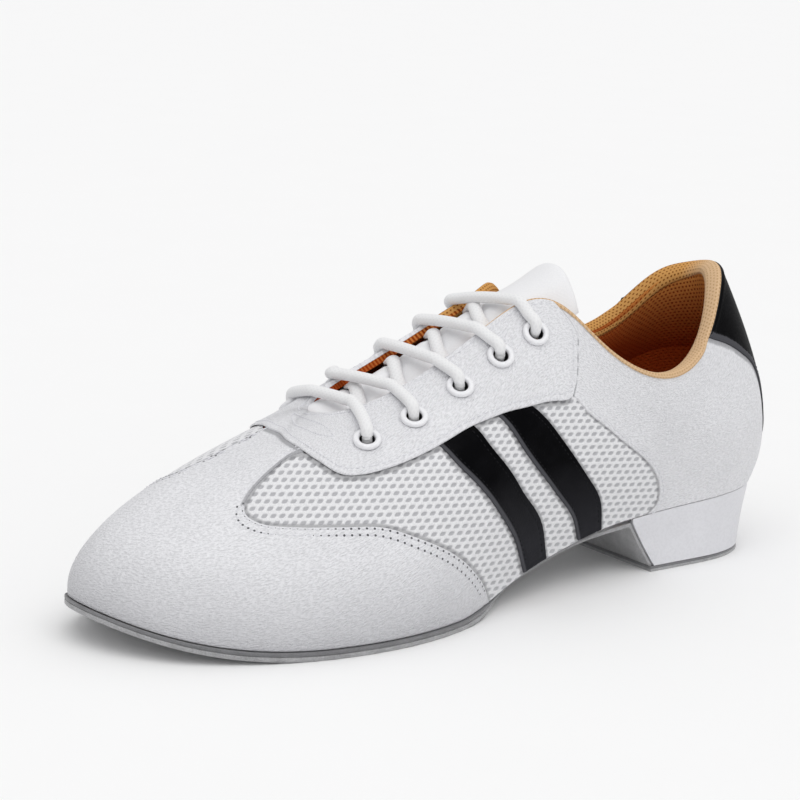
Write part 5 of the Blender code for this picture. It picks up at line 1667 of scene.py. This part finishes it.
def slant_run(low_place, high_place):
    """The lace under the facings, from a far eyelet over the tongue to the next near eyelet."""
    far = (-high_place[0], high_place[1])
    start, first_normal = lace_end_points(low_place)
    end, last_normal = lace_end_points(far)
    depth = LINING_IN - 0.25 - LACE_FLAT
    points = [start[0]]
    for rise in (low_place[1] + 0.35 * (1 - low_place[1]), low_place[1] + 0.75 * (1 - low_place[1])):
        share = (rise - low_place[1]) / (1 - low_place[1])
        turn = low_place[0] + 0.25 * share * (high_place[0] - low_place[0])
        points.append((lifted(turn, rise, depth), (2.6, LACE_FLAT)))
    edge_near = (low_place[0] + 0.3 * (high_place[0] - low_place[0]), 1.0)
    edge_far = (-(high_place[0] - 0.3 * (high_place[0] - low_place[0])), 1.0)
    a = lifted(edge_near[0], edge_near[1], depth)
    b = lifted(edge_far[0], edge_far[1], depth - throat_dip(*edge_far))
    a_out = climb_at(edge_near[0], 1.0)
    b_out = climb_at(edge_far[0], 1.0)
    span = np.linalg.norm(b - a)
    for t in np.linspace(0.0, 1.0, 7):
        point = cubic(a, a + a_out * span / 3, b + b_out * span / 3, b, t)
        plump = math.sin(math.pi * t) ** 0.5
        points.append((point, (2.6 - 0.4 * plump, LACE_FLAT + 0.9 * plump)))
    for rise in (far[1] + 0.75 * (1 - far[1]), far[1] + 0.35 * (1 - far[1])):
        share = (rise - far[1]) / (1 - far[1])
        turn = far[0] + 0.25 * share * (high_place[0] - low_place[0])
        points.append((lifted(turn, rise, depth - throat_dip(turn, rise)), (2.6, LACE_FLAT)))
    points.append(end[0])
    return lace_line(points, first_normal, last_normal)


def tube_mesh(points, radii, normals, step=0.7, sides=20):
    """Vertices and faces of a cord of changing oval section along a rounded line."""
    points = refined(np.array(points), 12)
    radii = refined(np.array(radii), 12)
    normals = unit(refined(np.array(normals), 12))
    run = run_along(points)
    count = max(4, int(run[-1] / step))
    wanted = np.linspace(0, run[-1], count)
    points = np.stack([np.interp(wanted, run, points[:, axis]) for axis in range(3)], 1)
    radii = np.stack([np.interp(wanted, run, radii[:, axis]) for axis in range(2)], 1)
    normals = unit(np.stack([np.interp(wanted, run, normals[:, axis]) for axis in range(3)], 1))
    way = unit(np.gradient(points, axis=0))
    side = np.cross(way, normals)
    for i in range(1, len(side)):
        if np.dot(side[i], side[i - 1]) < 0:
            side[i] = -side[i]
    side = unit(side)
    upward = np.cross(side, way)
    vertices = []
    planes = []
    for i in range(count):
        for j in range(sides):
            angle = 2 * math.pi * j / sides
            braid = 1 + 0.010 * math.cos(2 * math.pi * (wanted[i] / 1.6) + (angle * 4)) \
                + 0.010 * math.cos(2 * math.pi * (wanted[i] / 1.6) - (angle * 4))
            vertices.append(points[i] + side[i] * math.cos(angle) * radii[i][0] * braid
                            + upward[i] * math.sin(angle) * radii[i][1] * braid)
            planes.append((wanted[i], angle * 2.2))
    faces = ring_faces(count, sides)
    faces.append(tuple(range(sides)))
    faces.append(tuple(range((count - 1) * sides, count * sides)))
    return vertices, faces, planes, points, radii


def make_laces():
    vertices = []
    faces = []
    planes = []
    under_runs = []
    runs = [bar_run(place, slip) for place, slip in zip(EYELETS, BAR_SLIPS)]
    slants = [slant_run(EYELETS[i + 1], EYELETS[i]) for i in range(len(EYELETS) - 1)]
    for i, run in enumerate(runs + slants):
        made, sides, places, line, radii = tube_mesh(*run)
        base = len(vertices)
        vertices += made
        planes += places
        faces += [tuple(base + k for k in face) for face in sides]
        if i >= len(runs):
            under_runs.append((line[::3], radii[::3]))
    add_piece("lace_cord", vertices, faces, CORD, ["laces"], planes, 60.0)
    return under_runs


# Stage, light and camera

def make_stage():
    floor_mesh = bpy.data.meshes.new("floor")
    size = 6.0
    floor_mesh.from_pydata([(-size, -size, 0), (size, -size, 0), (size, size, 0), (-size, size, 0)],
                           [], [(0, 1, 2, 3)])
    floor = bpy.data.objects.new("floor", floor_mesh)
    bpy.context.scene.collection.objects.link(floor)
    look, tree, shader = new_material("pale_floor_look", (0.92, 0.92, 0.92), 0.9)
    grain = noise(tree, body_place(tree), 0.02, 2.0, 0.5)
    tree.links.new(blend_colours(tree, grain, (0.915, 0.915, 0.915), (0.925, 0.925, 0.925)),
                   shader.inputs["Base Color"])
    floor_mesh.materials.append(look)

    world = bpy.data.worlds.new("studio")
    world.use_nodes = True
    bpy.context.scene.world = world
    tree = world.node_tree
    sky = tree.nodes["Background"]
    way = node(tree, "ShaderNodeTexCoord").outputs["Generated"]
    height = node(tree, "ShaderNodeSeparateXYZ", {0: way}).outputs[2]
    tree.links.new(blend_colours(tree, ranged(tree, height, 0.0, 0.9, 0.0, 1.0), (0.38, 0.38, 0.385),
                                 (0.95, 0.95, 0.95)), sky.inputs[0])
    sky.inputs[1].default_value = 1.0
    for name, place, spread, power in (
            ("key_sun", (-0.12, -0.40, 1.0), 55.0, 0.62),
            ("front_sun", (0.0, -1.0, 0.6), 70.0, 0.35)):
        light = bpy.data.lights.new(name, "SUN")
        light.angle = math.radians(spread)
        light.energy = power
        lamp = bpy.data.objects.new(name, light)
        lamp.location = place
        lamp.rotation_mode = "QUATERNION"
        lamp.rotation_quaternion = (-Vector(place)).to_track_quat("-Z", "Y")
        bpy.context.scene.collection.objects.link(lamp)


def make_camera():
    azimuth = -0.593317
    elevation = 0.220401
    roll = 0.018345
    distance = 0.818286
    target = Vector((-0.102970, 0.008985, 0.061749))
    back = Vector((math.sin(azimuth) * math.cos(elevation), -math.cos(azimuth) * math.cos(elevation),
                   math.sin(elevation)))
    right = Vector((math.cos(azimuth), math.sin(azimuth), 0.0))
    up = back.cross(right).normalized()
    right_rolled = right * math.cos(roll) + up * math.sin(roll)
    up_rolled = up * math.cos(roll) - right * math.sin(roll)
    data = bpy.data.cameras.new("photo_camera")
    data.sensor_width = 36.0
    data.sensor_fit = "HORIZONTAL"
    data.lens = 2479.507 / 800 * 36.0
    data.clip_start = 0.05
    data.clip_end = 50.0
    camera = bpy.data.objects.new("photo_camera", data)
    turned = Matrix((right_rolled, up_rolled, back)).transposed().to_4x4()
    turned.translation = target + back * distance
    camera.matrix_world = turned
    bpy.context.scene.collection.objects.link(camera)
    bpy.context.scene.camera = camera
    bpy.context.scene.view_settings.view_transform = "Standard"


BAND_OUTLINES = [band_outline(*rows) for rows in BANDS]
make_camera()
make_stage()
make_upper_wall()
make_mesh_panels()
make_leather_panels()
make_eyestay()
make_heel_tab()
make_bands()
make_stitches()
make_collar()
make_soles()
make_eyelets()
make_tongue(make_laces())
